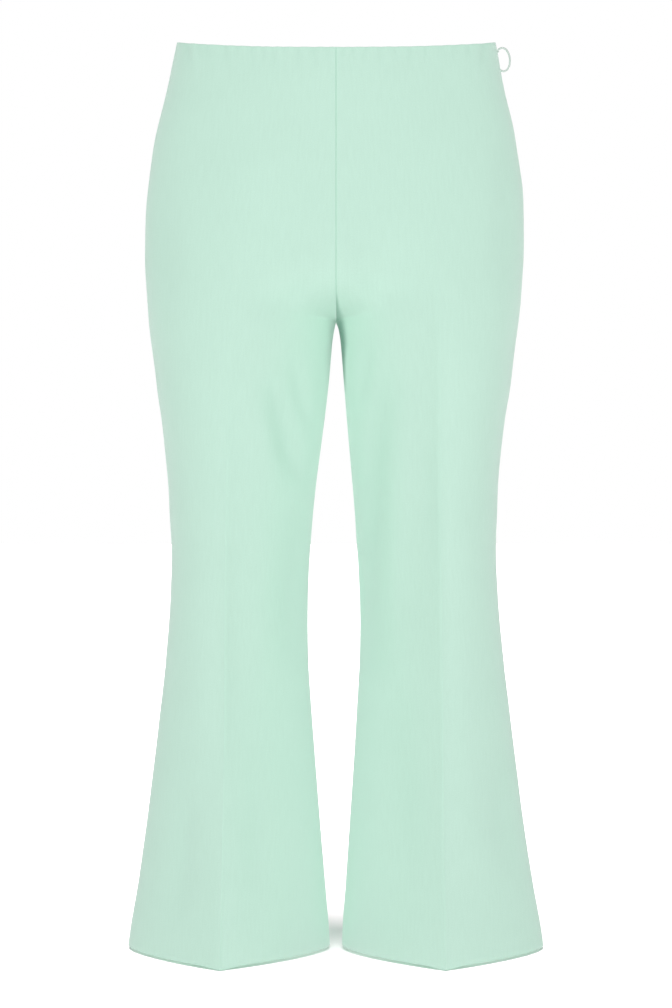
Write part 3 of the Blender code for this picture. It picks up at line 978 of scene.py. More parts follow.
@dataclass
class ClothPanel:
    """One cut panel, from the waist to the hem, with its allowances and turnings."""

    face: Face
    side: Side
    form: TrouserForm
    finish: bpy.types.Material
    sizes: SheetSizes = field(default_factory=SheetSizes)
    reach: Reaches = field(default_factory=Reaches)
    half_steps: int = 30
    crease_height: float = 0.00042
    crease_half_width: float = 0.0016
    wave_height: float = 0.00035
    # how dark fold and pucker troughs and the seams are painted, as painted shade
    fold_shade: float = 8.0
    pucker_shade: float = 55.0
    seam_shade: float = 0.14
    lift: float = 0.0019
    lift_begins: float = -0.800
    # where the painted tint of the inner legs begins
    inner_tint_begins: float = -0.245
    ease_rows: float = 9.0
    ease_share: float = 0.5
    ease_turns: int = 30
    # painted shadow in the tuck beside the crotch: height below the waist, width, tone
    tuck_shade: tuple[tuple[float, float, float], ...] = (
        (0.2430, 0.0007, 0.0),
        (0.2520, 0.0016, 0.48),
        (0.2580, 0.0031, 0.54),
        (0.2633, 0.0060, 0.62),
        (0.2671, 0.0066, 0.80),
        (0.2710, 0.0054, 0.88),
        (0.2800, 0.0048, 0.98),
        (0.2876, 0.0046, 0.98),
        (0.2950, 0.0036, 0.95),
        (0.3043, 0.0024, 0.90),
        (0.3155, 0.0019, 0.68),
        (0.3350, 0.0015, 0.0),
    )
    flat: tuple[float, float] = (0.0, 0.0)
    area: float = 0.0

    @property
    def name(self) -> str:
        """The name of the solid that the panel stands for."""
        return f"{self.face.name}_{self.side.name}".lower()

    @property
    def turned_out(self) -> bool:
        """Whether rows and columns run so that the faces between them already look outwards."""
        return (self.face is Face.FRONT) == (self.side is Side.LEFT)

    def stations(self) -> tuple[np.ndarray, np.ndarray, np.ndarray, np.ndarray]:
        """Places across the panel.

        Returns:
            For each place: the zone (0 from the inner edge, 1 inner half, 2 about the crease,
            3 outer half, 4 from the side seam), its distance or share in that zone, its depth
            inside the surface, and whether it belongs to the turned allowance.
        """
        bend, allowance = self.sizes.bend, self.sizes.allowance
        edge = [(bend + allowance * far, 2 * bend, True) for far in (1.0, 0.62, 0.3, 0.1)]
        for _, off, inside, past in reversed(self.sizes.round_bend()):
            edge.append((off, inside, past > 0))
        edge += [(distance, 0.0, False) for distance in (0.0014, 0.0022, 0.0034)]
        half = [(k / self.half_steps, 0.0, False) for k in range(self.half_steps + 1)]
        beside = (-0.0022, -0.0012, -0.0005, 0.0, 0.0005, 0.0012, 0.0022)
        crease = [(distance, 0.0, False) for distance in beside]
        zones = enumerate((edge, half, crease, half, edge[::-1]))
        zone, distance, depth, turned = zip(*[(z, *one) for z, places in zones for one in places])
        return np.array(zone), np.array(distance), np.array(depth), np.array(turned)

    def edge_starts(self, points: np.ndarray) -> tuple[np.ndarray, np.ndarray]:
        """How far from the middle of each seam the cloth of each row begins."""
        inner = np.full(len(points), self.sizes.seam_gap / 2)
        outer = inner.copy()
        if self.side is Side.LEFT:
            mouth = ZIP_MOUTH.at("half", points[:, -1, 2])
            outer = np.where(mouth > 0.0002, mouth, outer)
        return inner, outer

    def base(self) -> tuple[np.ndarray, np.ndarray]:
        """The smooth surface on a dense grid and its outward normals."""
        rows = self.form.rows(self.face)
        columns = np.linspace(0, 1, 181)
        points = self.form.surface(self.face, self.side, rows, columns)
        normals = np.cross(np.gradient(points, axis=0), np.gradient(points, axis=1))
        if not self.turned_out:
            normals = -normals
        normals /= np.linalg.norm(normals, axis=2, keepdims=True)
        return points, normals

    def laid_out(self) -> tuple[np.ndarray, np.ndarray, np.ndarray, np.ndarray]:
        """Points and normals at the stations, with distances from the edges and the crease.

        Returns:
            Points, normals, distance from the nearer seam, and distance past the crease.
        """
        points, normals = self.base()
        zone, distance, _, _ = self.stations()
        steps = np.linalg.norm(np.diff(points, axis=1), axis=2)
        lengths = np.concatenate([np.zeros((len(points), 1)), np.cumsum(steps, axis=1)], axis=1)
        crease = lengths[:, lengths.shape[1] // 2]
        whole = lengths[:, -1]
        inner_start, outer_start = self.edge_starts(points)
        near, by_crease = 0.0050, 0.0036
        first, last = inner_start + near, whole - outer_start - near
        zones = (
            (inner_start, 1),
            (first, crease - by_crease - first),
            (crease, 1),
            (crease + by_crease, last - crease - by_crease),
            (whole - outer_start, -1),
        )
        at = np.stack([zones[z][0] + zones[z][1] * d for z, d in zip(zone, distance)], axis=1)
        placed, facing = (
            np.stack([sampled(at[r], lengths[r], values[r]) for r in range(len(at))])
            for values in (points, normals)
        )
        facing /= np.linalg.norm(facing, axis=2, keepdims=True)
        from_seam = np.minimum(at - inner_start[:, None], (whole - outer_start)[:, None] - at)
        return placed, facing, from_seam, at - crease[:, None]

    def relief(
        self, points: np.ndarray, from_seam: np.ndarray, from_crease: np.ndarray
    ) -> tuple[np.ndarray, np.ndarray]:
        """The laid-in relief of the panel.

        Args:
            points: Places of the smooth surface.
            from_seam: Distance of each place from the nearer seam.
            from_crease: Distance of each place past the crease.

        Returns:
            How far folds, puckers, dart and crease push each place inwards, and how much painted
            shade the troughs of folds and puckers get.
        """
        x, z = points[:, :, 0], points[:, :, 2]
        below_edge = z[0:1, :] - z
        hold = smooth_step(from_seam / self.reach.seam_hold)
        total = np.zeros_like(x)
        for fold in PANEL_FOLDS[(self.face, self.side)]:
            total += fold.push(x, z) * hold
        drawn = PUCKERS[(self.face, self.side)].push(x, below_edge)
        drawn = drawn * smooth_step(from_seam / self.reach.seam_hold_on_puckers)
        # painted shade in the troughs of folds and puckers
        tone = np.maximum(total, 0) * self.fold_shade + np.maximum(drawn, 0) * self.pucker_shade
        total += drawn
        if self.face is Face.BACK:
            total += BackDart().push(x, below_edge)
        total -= self.pressed_crease(z) * np.exp(-((from_crease / self.crease_half_width) ** 2))
        total += self.wave_height * self.waves(x, z) * hold
        return total, tone

    def waves(self, x: np.ndarray, z: np.ndarray) -> np.ndarray:
        """A slight unevenness of the cloth, another on each panel, at about -1 to 1."""
        phase = {Side.LEFT: 0.7, Side.RIGHT: 2.1}[self.side] + self.face.value
        waves = np.sin(z * 61 + phase + x * 23) * np.sin(x * 47 - z * 9 + phase * 1.7)
        return waves + 0.6 * np.sin(z * 103 - x * 31 + phase * 2.3)

    def eased(self, points: np.ndarray, from_seam: np.ndarray) -> np.ndarray:
        """Ease the cloth where the crotch turns into the leg, away from the seams."""
        turn = self.form.hip_rows + self.form.crotch_rows
        near = np.exp(-(((np.arange(len(points)) - turn) / self.ease_rows) ** 2))[:, None]
        near = near * smooth_step((from_seam - 0.002) / self.reach.seam_hold)
        share = near[1:-1, :, None] * self.ease_share
        for _ in range(self.ease_turns):
            middle = (points[:-2] + points[2:]) / 2
            points[1:-1] += (middle - points[1:-1]) * share
        return points

    def hem_lift(self, z: np.ndarray, from_crease: np.ndarray) -> np.ndarray:
        """How far the hem is lifted off the floor between the creases, which stand on it."""
        low = smooth_step((self.lift_begins - z) / self.reach.hem_lifts)
        stands = np.exp(-((from_crease / self.reach.crease_stands) ** 2))
        return self.lift * low * (1 - stands)

    def pressed_crease(self, z: np.ndarray) -> np.ndarray:
        """How far the pressed crease stands, from nothing at the hip to its full height."""
        begin = -0.215 if self.side is Side.LEFT else -0.300
        uneven = 0.75 + 0.25 * np.sin(z * 37 + self.side.value) * np.sin(z * 11 + 1.3)
        return self.crease_height * uneven * smooth_step((begin - z) / self.reach.crease_grows)

    def build(self) -> bpy.types.Object:
        """Make the panel.

        Returns:
            The finished panel, with its weave map and its tones.
        """
        points, normals, from_seam, from_crease = self.laid_out()
        _, _, depth, turned = self.stations()
        push, trough = self.relief(points, from_seam, from_crease)
        points = self.eased(points - normals * push[:, :, None], from_seam)
        points[:, :, 2] += self.hem_lift(points[:, :, 2], from_crease)
        steps = np.linalg.norm(np.diff(points, axis=0), axis=2)
        width = points.shape[1]
        down = np.concatenate([np.zeros((1, width)), np.cumsum(steps, axis=0)], axis=0)
        whole = down[-1]
        bend, bends = self.sizes.bend, self.sizes.round_bend()[1:]
        waist_turn, hem_turn = self.sizes.waist_turn, self.sizes.hem_turn
        laid = LaidRows()

        def lay(v: np.ndarray, row_depth: np.ndarray | float, kind: str, cut: float) -> None:
            """Lay one row at a distance v down each column and a depth inside the surface."""
            place, outwards, across = (
                np.stack([sampled(v[j], down[:, j], values[:, j]) for j in range(width)])
                for values in (points, normals, from_crease[:, :, None])
            )
            outwards /= np.linalg.norm(outwards, axis=1, keepdims=True)
            inside = np.hypot(depth, row_depth)
            end = 0 if kind.startswith("waist") else -1
            by_seam = np.exp(-((from_seam[end] / self.reach.seam_press_turned) ** 2))
            # turnings count as pressed, which also gives them the painted shade
            press_and_shade = np.maximum(0.9, by_seam)
            tones = self.tones(place, from_crease[end], from_seam[end], trough[end], press_and_shade)
            laid.add(place - outwards * inside[:, None], across[:, 0], cut, kind, tones)

        # turnings lie further in where a seam allowance lies between them and the cloth
        past_allowance = (from_seam - self.sizes.allowance) / self.reach.allowance_end
        extra = self.sizes.over_allowance * bend * (1 - smooth_step(past_allowance))
        for far in (1.0, 0.7, 0.4, 0.15):
            v = np.full(width, bend + waist_turn * far)
            lay(v, 2 * bend + extra[0], "waist_turn", -bend - waist_turn * far)
        for turn, off, inside, past in reversed(bends):
            kind = "waist_turn" if past > 0 else "waist"
            lay(np.full(width, off), inside + extra[0] * past, kind, -bend * turn)
        first = int(np.searchsorted(down[:, width // 2], bend * 1.2))
        last = int(np.searchsorted(down[:, width // 2], whole.min() - bend * 1.2)) - 1
        crease_column = int(np.argmin(np.abs(from_crease[-1])))
        turn_top = self.form.hem + hem_turn - 0.003
        for r in range(first, last + 1):
            along_seam = np.exp(-((from_seam[r] / self.reach.seam_press_and_shade) ** 2))
            on_crease = np.exp(-((from_crease[r] / self.reach.crease_press_and_shade) ** 2))
            share = self.pressed_crease(points[r, :, 2]) / self.crease_height
            off_edges = np.array([down[r], whole - down[r]])
            by_edge = np.exp(-((off_edges / self.reach.edge_press_and_shade) ** 2)).sum(axis=0)
            # the pressing also sets the painted shade along seams, the crease and the edges
            press_and_shade = np.clip(np.maximum(along_seam, on_crease * share) + by_edge, 0, 1)
            tones = self.tones(points[r], from_crease[r], from_seam[r], trough[r], press_and_shade)
            kind = "main" if points[r, 0, 2] > turn_top else "hem_zone"
            row = points[r] - normals[r] * depth[:, None]
            laid.add(row, from_crease[r], down[r, crease_column], kind, tones)
        end = whole[crease_column]
        for turn, off, inside, past in bends:
            kind = "hem_turn" if past > 0 else "hem"
            lay(whole - off, inside + extra[-1] * past, kind, end + bend * turn)
        for far in (0.08, 0.2, 0.4, 0.6, 0.8, 1.0):
            v = whole - bend - hem_turn * far
            lay(v, 2 * bend + extra[-1], "hem_turn", end + bend * pi + hem_turn * far)
        return self.sewn(laid, turned)

    def tones(
        self,
        points: np.ndarray,
        from_crease: np.ndarray,
        from_seam: np.ndarray,
        trough: np.ndarray,
        press_and_shade: np.ndarray,
    ) -> dict[str, np.ndarray]:
        """The values of one row that the finish reads.

        Args:
            points: The row's points.
            from_crease: Distance of each past the crease.
            from_seam: Distance of each from the nearer seam.
            trough: How much painted shade each gets in the trough of a fold or pucker.
            press_and_shade: How hard each is pressed, which also sets its painted shade.

        Returns:
            Values by name.
        """
        # values from which the finish paints shade and light into the cloth's colour
        return {
            "press_and_shade": press_and_shade,
            "inner": self.inner_leg_light_tint(points, from_crease),
            "crevice": self.crevice(points, from_seam, trough),
            "facet_light_shade": self.facet_light_shade(points, from_crease),
        }

    def inner_leg_light_tint(self, points: np.ndarray, from_crease: np.ndarray) -> np.ndarray:
        """How much of the painted light tint each place of a row gets near the inside leg seam,
        from 0 to 1, below the crotch.
        """
        share = np.where(from_crease < 0, from_crease / from_crease.min(), 0.0)
        below = (self.inner_tint_begins - points[:, 2]) / self.reach.inner_tint_deepens
        return smooth_step((share - 0.35) / 0.5) * smooth_step(below)

    def facet_light_shade(self, points: np.ndarray, from_crease: np.ndarray) -> np.ndarray:
        """The painted light and shade on the two planes beside the pressed front crease at a row.
        """
        if self.face is Face.BACK:
            return np.zeros(len(points))
        height, *values = np.array(CREASE_LIGHT_SHADE[self.side]).T
        inner, reach, outer = (np.interp(-points[:, 2], height, value) for value in values)
        within = smooth_step(-from_crease / self.reach.plane_within)
        beyond = smooth_step(from_crease / self.reach.plane_beyond)
        inner = inner * np.exp(-((from_crease / reach) ** 2)) * within
        outer = outer * np.exp(-((from_crease / self.reach.plane_fades) ** 2)) * beyond
        return inner + outer

    def crevice(self, points: np.ndarray, from_seam: np.ndarray, trough: np.ndarray) -> np.ndarray:
        """How much painted shade each place of a row gets in a seam, the crotch tuck or a trough,
        from 0 to 1.
        """
        z = points[:, 2]
        by_seam = np.exp(-((np.maximum(from_seam, 0) / self.reach.seam_crevice) ** 2))
        # painted shade along the seams
        seam = trough + self.seam_shade * by_seam
        if self.side is Side.RIGHT or self.face is Face.BACK:
            return seam
        edge = np.maximum(OUTLINES.swayed("gap", z), 0)
        height, width, depth = np.array(self.tuck_shade).T
        aside = np.maximum(points[:, 0] - edge, 0) / np.interp(-z, height, width)
        return np.maximum(seam, np.interp(-z, height, depth) * np.exp(-(aside**3)))

    def sewn(self, laid: LaidRows, turned: np.ndarray) -> bpy.types.Object:
        """Make the mesh of the panel from its laid rows.

        Args:
            laid: The rows.
            turned: Whether each station belongs to a turned seam allowance.

        Returns:
            The finished panel.
        """
        rows, maps = np.array(laid.points), np.array(laid.maps)
        count, width = rows.shape[:2]
        index = -np.ones((count, width), int)
        faces: list[tuple[int, ...]] = []
        used: list[tuple[int, int]] = []

        def corner(r: int, c: int) -> int:
            """The vertex of a row and station, made when it is first used."""
            if index[r, c] < 0:
                index[r, c] = len(used)
                used.append((r, c))
            return int(index[r, c])

        for r in range(count - 1):
            closed = {laid.kinds[r], laid.kinds[r + 1]} != {"main"}
            for c in range(width - 1):
                if closed and (turned[c] or turned[c + 1]):
                    continue
                ring = [(r, c), (r + 1, c), (r + 1, c + 1), (r, c + 1)]
                if not self.turned_out:
                    ring.reverse()
                faces.append(tuple(corner(*place) for place in ring))
                one, two = rows[r + 1, c + 1] - rows[r, c], rows[r + 1, c] - rows[r, c + 1]
                self.area += float(np.linalg.norm(np.cross(one, two))) / 2
        at_r, at_c = np.array(used).T
        panel = mesh_object(f"{self.name}_cloth", rows[at_r, at_c], faces, self.finish)
        lay_weave(panel.data, maps[at_r, at_c])
        for name, values in laid.tones.items():
            tone = panel.data.attributes.new(name, "FLOAT", "POINT")
            tone.data.foreach_set("value", np.array(values)[at_r, at_c].astype(np.float32))
        apply_wall(panel, self.sizes.cloth)
        spans = np.linalg.norm(np.diff(rows, axis=1), axis=2).sum(axis=1)
        lengths = np.linalg.norm(np.diff(rows, axis=0), axis=2).sum(axis=0)
        self.flat = (float(spans.max()), float(lengths.max()))
        return panel

    def place(self) -> bpy.types.Object:
        """Build the panel and tie it to the frame."""
        panel = self.build()
        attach(panel, "trousers")
        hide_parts(self.name)
        return panel


# ---------------------------------------------------------------- the zip


@dataclass
class WireForm:
    """A round wire modelled as by hand: a ring of points, extruded and spun along its run."""

    name: str
    radius: float
    start: Point
    heading: Point
    finish: bpy.types.Material
    sides: int = 14

    def begin(self) -> None:
        """Add the first ring across the heading and enter edit mode."""
        bpy.ops.object.select_all(action="DESELECT")
        turn = Vector((0, 0, 1)).rotation_difference(Vector(self.heading)).to_euler()
        bpy.ops.mesh.primitive_circle_add(
            vertices=self.sides, radius=self.radius, location=self.start, rotation=turn
        )
        just_added(self.name)
        edit_all()

    def run(self, step: Point) -> None:
        """Extrude the open end along a straight step."""
        bpy.ops.mesh.extrude_region_move(TRANSFORM_OT_translate={"value": step})

    def turn(self, centre: Point, axis: Point, angle: float, steps: int) -> None:
        """Spin the open end round a centre, by the right-hand rule about the axis."""
        bpy.ops.mesh.spin(steps=steps, angle=-angle, center=centre, axis=axis)

    def end(self) -> bpy.types.Object:
        """Merge, close open ends, turn the faces out, leave edit mode and give the piece back."""
        bpy.ops.mesh.select_all(action="SELECT")
        bpy.ops.mesh.remove_doubles(threshold=0.00001)
        bpy.ops.mesh.fill_holes(sides=0)
        bpy.ops.mesh.select_all(action="SELECT")
        bpy.ops.mesh.normals_make_consistent(inside=False)
        bpy.ops.object.mode_set(mode="OBJECT")
        thing = bpy.context.object
        thing.data.shade_smooth()
        thing.data.materials.append(self.finish)
        return thing


@dataclass
class SideZip:
    """The hidden zip of the left side seam: tape, coil, slider and ring."""

    form: TrouserForm
    tape_finish: bpy.types.Material
    coil_finish: bpy.types.Material
    enamel: bpy.types.Material
    top: float = -0.003
    foot: float = -0.185
    half_width: float = 0.013
    notch_half: float = 0.0040
    notch_foot: float = -0.0290
    bed_top: float = -0.0150
    bed_recess: float = 0.0036
    bed_slope: float = 0.004
    bed_side: float = 0.0016
    inside: float = 0.0025
    tape: float = 0.00045
    tape_flat_half: float = 0.006
    tape_ripple: float = 0.00012
    tape_rib: float = 0.00025
    tape_rib_width: float = 0.0006
    coil_pitch: float = 0.0014
    coil_wire: float = 0.00022
    coil_clearance: float = 0.00004
    slider_centre: Point = (0.1482, 0.0, -0.0098)
    slider_size: Point = (0.0038, 0.0056, 0.0090)
    staple_reach: float = 0.1546
    staple_height: float = -0.00915
    staple_half: float = 0.00145
    staple_wire: float = 0.00045
    ring_centre: Point = (0.1586, 0.0, -0.01625)
    ring_half_height: float = 0.01102
    ring_half_width: float = 0.00665
    ring_end_radius: float = 0.0050
    ring_wire: float = 0.00095
    ring_tilt: float = radians(5.5)

    def beside_seam(self, height: np.ndarray, y: np.ndarray, depth: float) -> np.ndarray:
        """Points inside the cloth beside the left side seam."""
        outer = OUTLINES.swayed("outer", height)
        front = y < 0
        deep = np.where(front, HIP_DEPTHS.at("FRONT", height), HIP_DEPTHS.at("BACK", height))
        square = np.where(front, self.form.squareness[Face.FRONT], self.form.squareness[Face.BACK])
        x = outer * (1 - np.abs(y / deep) ** square) ** (1 / square)
        return np.stack([x - depth, y, height + self.form.waist_slant(y, height)], axis=-1)

    def recess(self, height: np.ndarray, y: np.ndarray) -> np.ndarray:
        """How far the middle of the tape drops inside, behind the ring, to meet the slider."""
        rise = self.bed_top - self.notch_foot + self.bed_slope
        up = smooth_step((height - self.notch_foot + self.bed_slope) / rise)
        return self.bed_recess * up * smooth_step((self.notch_half - np.abs(y)) / self.bed_side)

    def make_tape(self) -> bpy.types.Object:
        """The woven tape, parted at its top round the slider, with a rib along each edge."""
        edge, notch = self.half_width, self.notch_half
        sides = np.linspace(notch, edge, 13)
        across = np.concatenate([-sides[::-1], np.linspace(-notch, notch, 17)[1:-1], sides])
        parted = np.linspace(self.top, self.bed_top, 9)
        heights = np.concatenate([parted, np.linspace(self.bed_top, self.foot, 90)[1:]])
        z, y = np.meshgrid(heights, across, indexing="ij")
        off, flat = np.abs(y), self.tape_flat_half
        ripple = self.tape_ripple * np.sin(z * 900 + np.sign(y) * 0.8)
        points = self.beside_seam(z, y, self.inside)
        points[:, :, 0] -= self.recess(z, y)
        points[:, :, 0] += ripple * smooth_step((off - flat) / flat)
        points[:, :, 0] -= self.tape_rib * np.exp(-(((off - edge) / self.tape_rib_width) ** 2))
        count, width = z.shape
        faces = []
        for r in range(count - 1):
            for c in range(width - 1):
                middle = abs(across[c] + across[c + 1]) / 2
                if heights[r + 1] >= self.bed_top - 1e-9 and middle < notch:
                    continue
                a = r * width + c
                faces.append((a, a + width, a + width + 1, a + 1))
        tape = mesh_object("zip_tape_cloth", points.reshape(-1, 3), faces, self.tape_finish)
        lay_weave(tape.data, np.stack([y.ravel(), z.ravel()], axis=1))
        select_only(tape)
        edit_all()
        bpy.ops.mesh.delete_loose()
        bpy.ops.object.mode_set(mode="OBJECT")
        apply_wall(tape, self.tape)
        return tape

    def make_coil(self) -> bpy.types.Object:
        """The coil: one loop modelled once, then copied down both sides of the seam."""
        near, far, back, bend = 0.00015, 0.00135, -0.00025, 0.00045
        start, heading, upright = (0.0, near, 0.0), (0.0, 1.0, 0.0), (0.0, 0.0, 1.0)
        wire = WireForm("zip_coil", self.coil_wire, start, heading, self.coil_finish, 6)
        wire.begin()
        wire.run((0.0, far - near, 0.0))
        wire.turn((-bend, far, 0.0), upright, pi, 5)
        wire.run((0.0, back - far, 0.0))
        wire.turn((-bend, back, 0.0), upright, pi, 5)
        loop = wire.end()
        heights = np.arange(self.bed_top - 0.0003, self.foot + 0.004, -self.coil_pitch)
        middle = np.zeros_like(heights)
        depth = self.inside + self.tape + self.coil_wire + self.coil_clearance
        seam = self.beside_seam(heights, middle, depth)
        seam[:, 0] -= self.recess(heights, middle)
        copies = []
        for k, place in enumerate(seam):
            lean = atan2(*(seam[min(k + 1, len(seam) - 1)] - seam[max(k - 1, 0)])[[0, 2]])
            for half_turn, drop in ((0.0, 0.0), (pi, self.coil_pitch / 2)):
                copy = loop.copy()
                copy.data = loop.data.copy()
                move = Matrix.Translation(Vector(place) - Vector((0, 0, drop)))
                tilt = Matrix.Rotation(lean + pi, 4, "Y")
                copy.data.transform(move @ tilt @ Matrix.Rotation(half_turn, 4, "X"))
                bpy.context.scene.collection.objects.link(copy)
                copies.append(copy)
        bpy.data.objects.remove(loop)
        select_only(copies[0])
        for copy in copies:
            copy.select_set(True)
        bpy.ops.object.join()
        coil = bpy.context.object
        coil.name = coil.data.name = "zip_coil"
        return coil

    def make_slider(self) -> bpy.types.Object:
        """The slider: a shouldered block with a channel, and the staple that carries the ring."""
        bpy.ops.object.select_all(action="DESELECT")
        bpy.ops.mesh.primitive_cube_add(
            size=1.0, location=self.slider_centre, scale=self.slider_size
        )
        slider = just_added("zip_slider_body")
        edit_all()
        bpy.ops.mesh.subdivide(number_cuts=3)
        self.narrow_foot(slider)
        self.cut_channel(slider)
        bpy.ops.mesh.select_all(action="SELECT")
        bpy.ops.mesh.normals_make_consistent(inside=False)
        bpy.ops.object.mode_set(mode="OBJECT")
        slider.data.materials.append(self.enamel)
        soften = slider.modifiers.new("softened_edges", "BEVEL")
        soften.width = 0.00035
        soften.segments = 3
        soften.limit_method = "ANGLE"
        soften.angle_limit = radians(35)
        select_only(slider)
        bpy.ops.object.modifier_apply(modifier=soften.name)
        edit_all()
        bpy.ops.mesh.remove_doubles(threshold=0.000005)
        bpy.ops.mesh.normals_make_consistent(inside=False)
        bpy.ops.object.mode_set(mode="OBJECT")
        bpy.ops.object.shade_smooth_by_angle(angle=radians(40))
        staple = self.make_staple()
        select_only(slider)
        staple.select_set(True)
        bpy.ops.object.join()
        return slider

    def narrow_foot(self, slider: bpy.types.Object) -> None:
        """Draw the slider's lower part in to seven tenths of its width."""
        _, cy, cz = self.slider_centre
        work = bmesh.from_edit_mesh(slider.data)
        for vert in work.verts:
            below = (cz + 0.001 - vert.co.z) / (self.slider_size[2] / 2)
            share = min(max(below, 0.0), 1.0)
            vert.co.y = cy + (vert.co.y - cy) * (1 - 0.30 * share)
        bmesh.update_edit_mesh(slider.data)

    def cut_channel(self, slider: bpy.types.Object) -> None:
        """Inset the slider's top and foot and press the channel in for the coil."""
        for up in (1.0, -1.0):
            work = bmesh.from_edit_mesh(slider.data)
            for part in list(work.verts) + list(work.edges):
                part.select = False
            for surface in work.faces:
                surface.select = surface.normal.z * up > 0.9
            bmesh.update_edit_mesh(slider.data)
            bpy.ops.mesh.inset(thickness=0.0007, depth=0.0)
            bpy.ops.mesh.inset(thickness=0.0001, depth=-0.0022)

    def make_staple(self) -> bpy.types.Object:
        """The wire staple on the slider's outer face."""
        bend, half, height = 0.0007, self.staple_half, self.staple_height
        upright, corner = (0, 0, 1), self.staple_reach - bend
        start = (self.slider_centre[0], -half, height)
        straight = corner - start[0]
        wire = WireForm("staple", self.staple_wire, start, (1.0, 0.0, 0.0), self.enamel, 12)
        wire.begin()
        wire.run((straight, 0.0, 0.0))
        wire.turn((corner, -half + bend, height), upright, pi / 2, 6)
        wire.run((0.0, 2 * half - 2 * bend, 0.0))
        wire.turn((corner, half - bend, height), upright, pi / 2, 6)
        wire.run((-straight, 0.0, 0.0))
        return wire.end()

    def make_ring(self) -> bpy.types.Object:
        """The oval ring: four arcs of wire, closed on themselves."""
        tall, wide, end = self.ring_half_height, self.ring_half_width, self.ring_end_radius
        rise = tall - end
        side = (rise * rise + wide * wide - end * end) / (2 * (wide - end))
        joint = atan2(rise, side - wide)
        centre = Vector(self.ring_centre)

        def at(x: float, z: float) -> Point:
            """A place of the upright ring, tilted about its centre."""
            c, s = cos(self.ring_tilt), sin(self.ring_tilt)
            return tuple(centre + Vector((x * c - z * s, 0.0, x * s + z * c)))

        start = at(wide, 0.0)
        heading = (Vector(at(wide, 1.0)) - Vector(at(wide, 0.0))).normalized()
        wire = WireForm("zip_ring", self.ring_wire, start, tuple(heading), self.enamel, 20)
        wire.begin()
        arcs = (
            (wide - side, 0.0, joint, 12),
            (0.0, rise, pi - 2 * joint, 26),
            (side - wide, 0.0, 2 * joint, 24),
            (0.0, -rise, pi - 2 * joint, 26),
            (wide - side, 0.0, joint, 12),
        )
        for x, z, angle, steps in arcs:
            wire.turn(at(x, z), (0.0, -1.0, 0.0), angle, steps)
        return wire.end()

    def place(self) -> None:
        """Build the zip's pieces and tie them to the frame."""
        tape = self.make_tape()
        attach(tape, "trousers")
        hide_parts("zip_tape")
        length = self.top - self.foot
        notch = 2 * self.notch_half * (self.top - self.bed_top)
        area = 2 * self.half_width * length - notch
        coil = self.make_coil()
        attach(coil, "trousers")
        2 * self.half_width
        slider = self.make_slider()
        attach(slider, "trousers")
        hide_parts("zip_slider")
        ring = self.make_ring()
        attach(ring, "pull")
        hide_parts("zip_pull")
        for piece in (tape, coil, slider, ring):
            report(piece)


# ---------------------------------------------------------------- studio


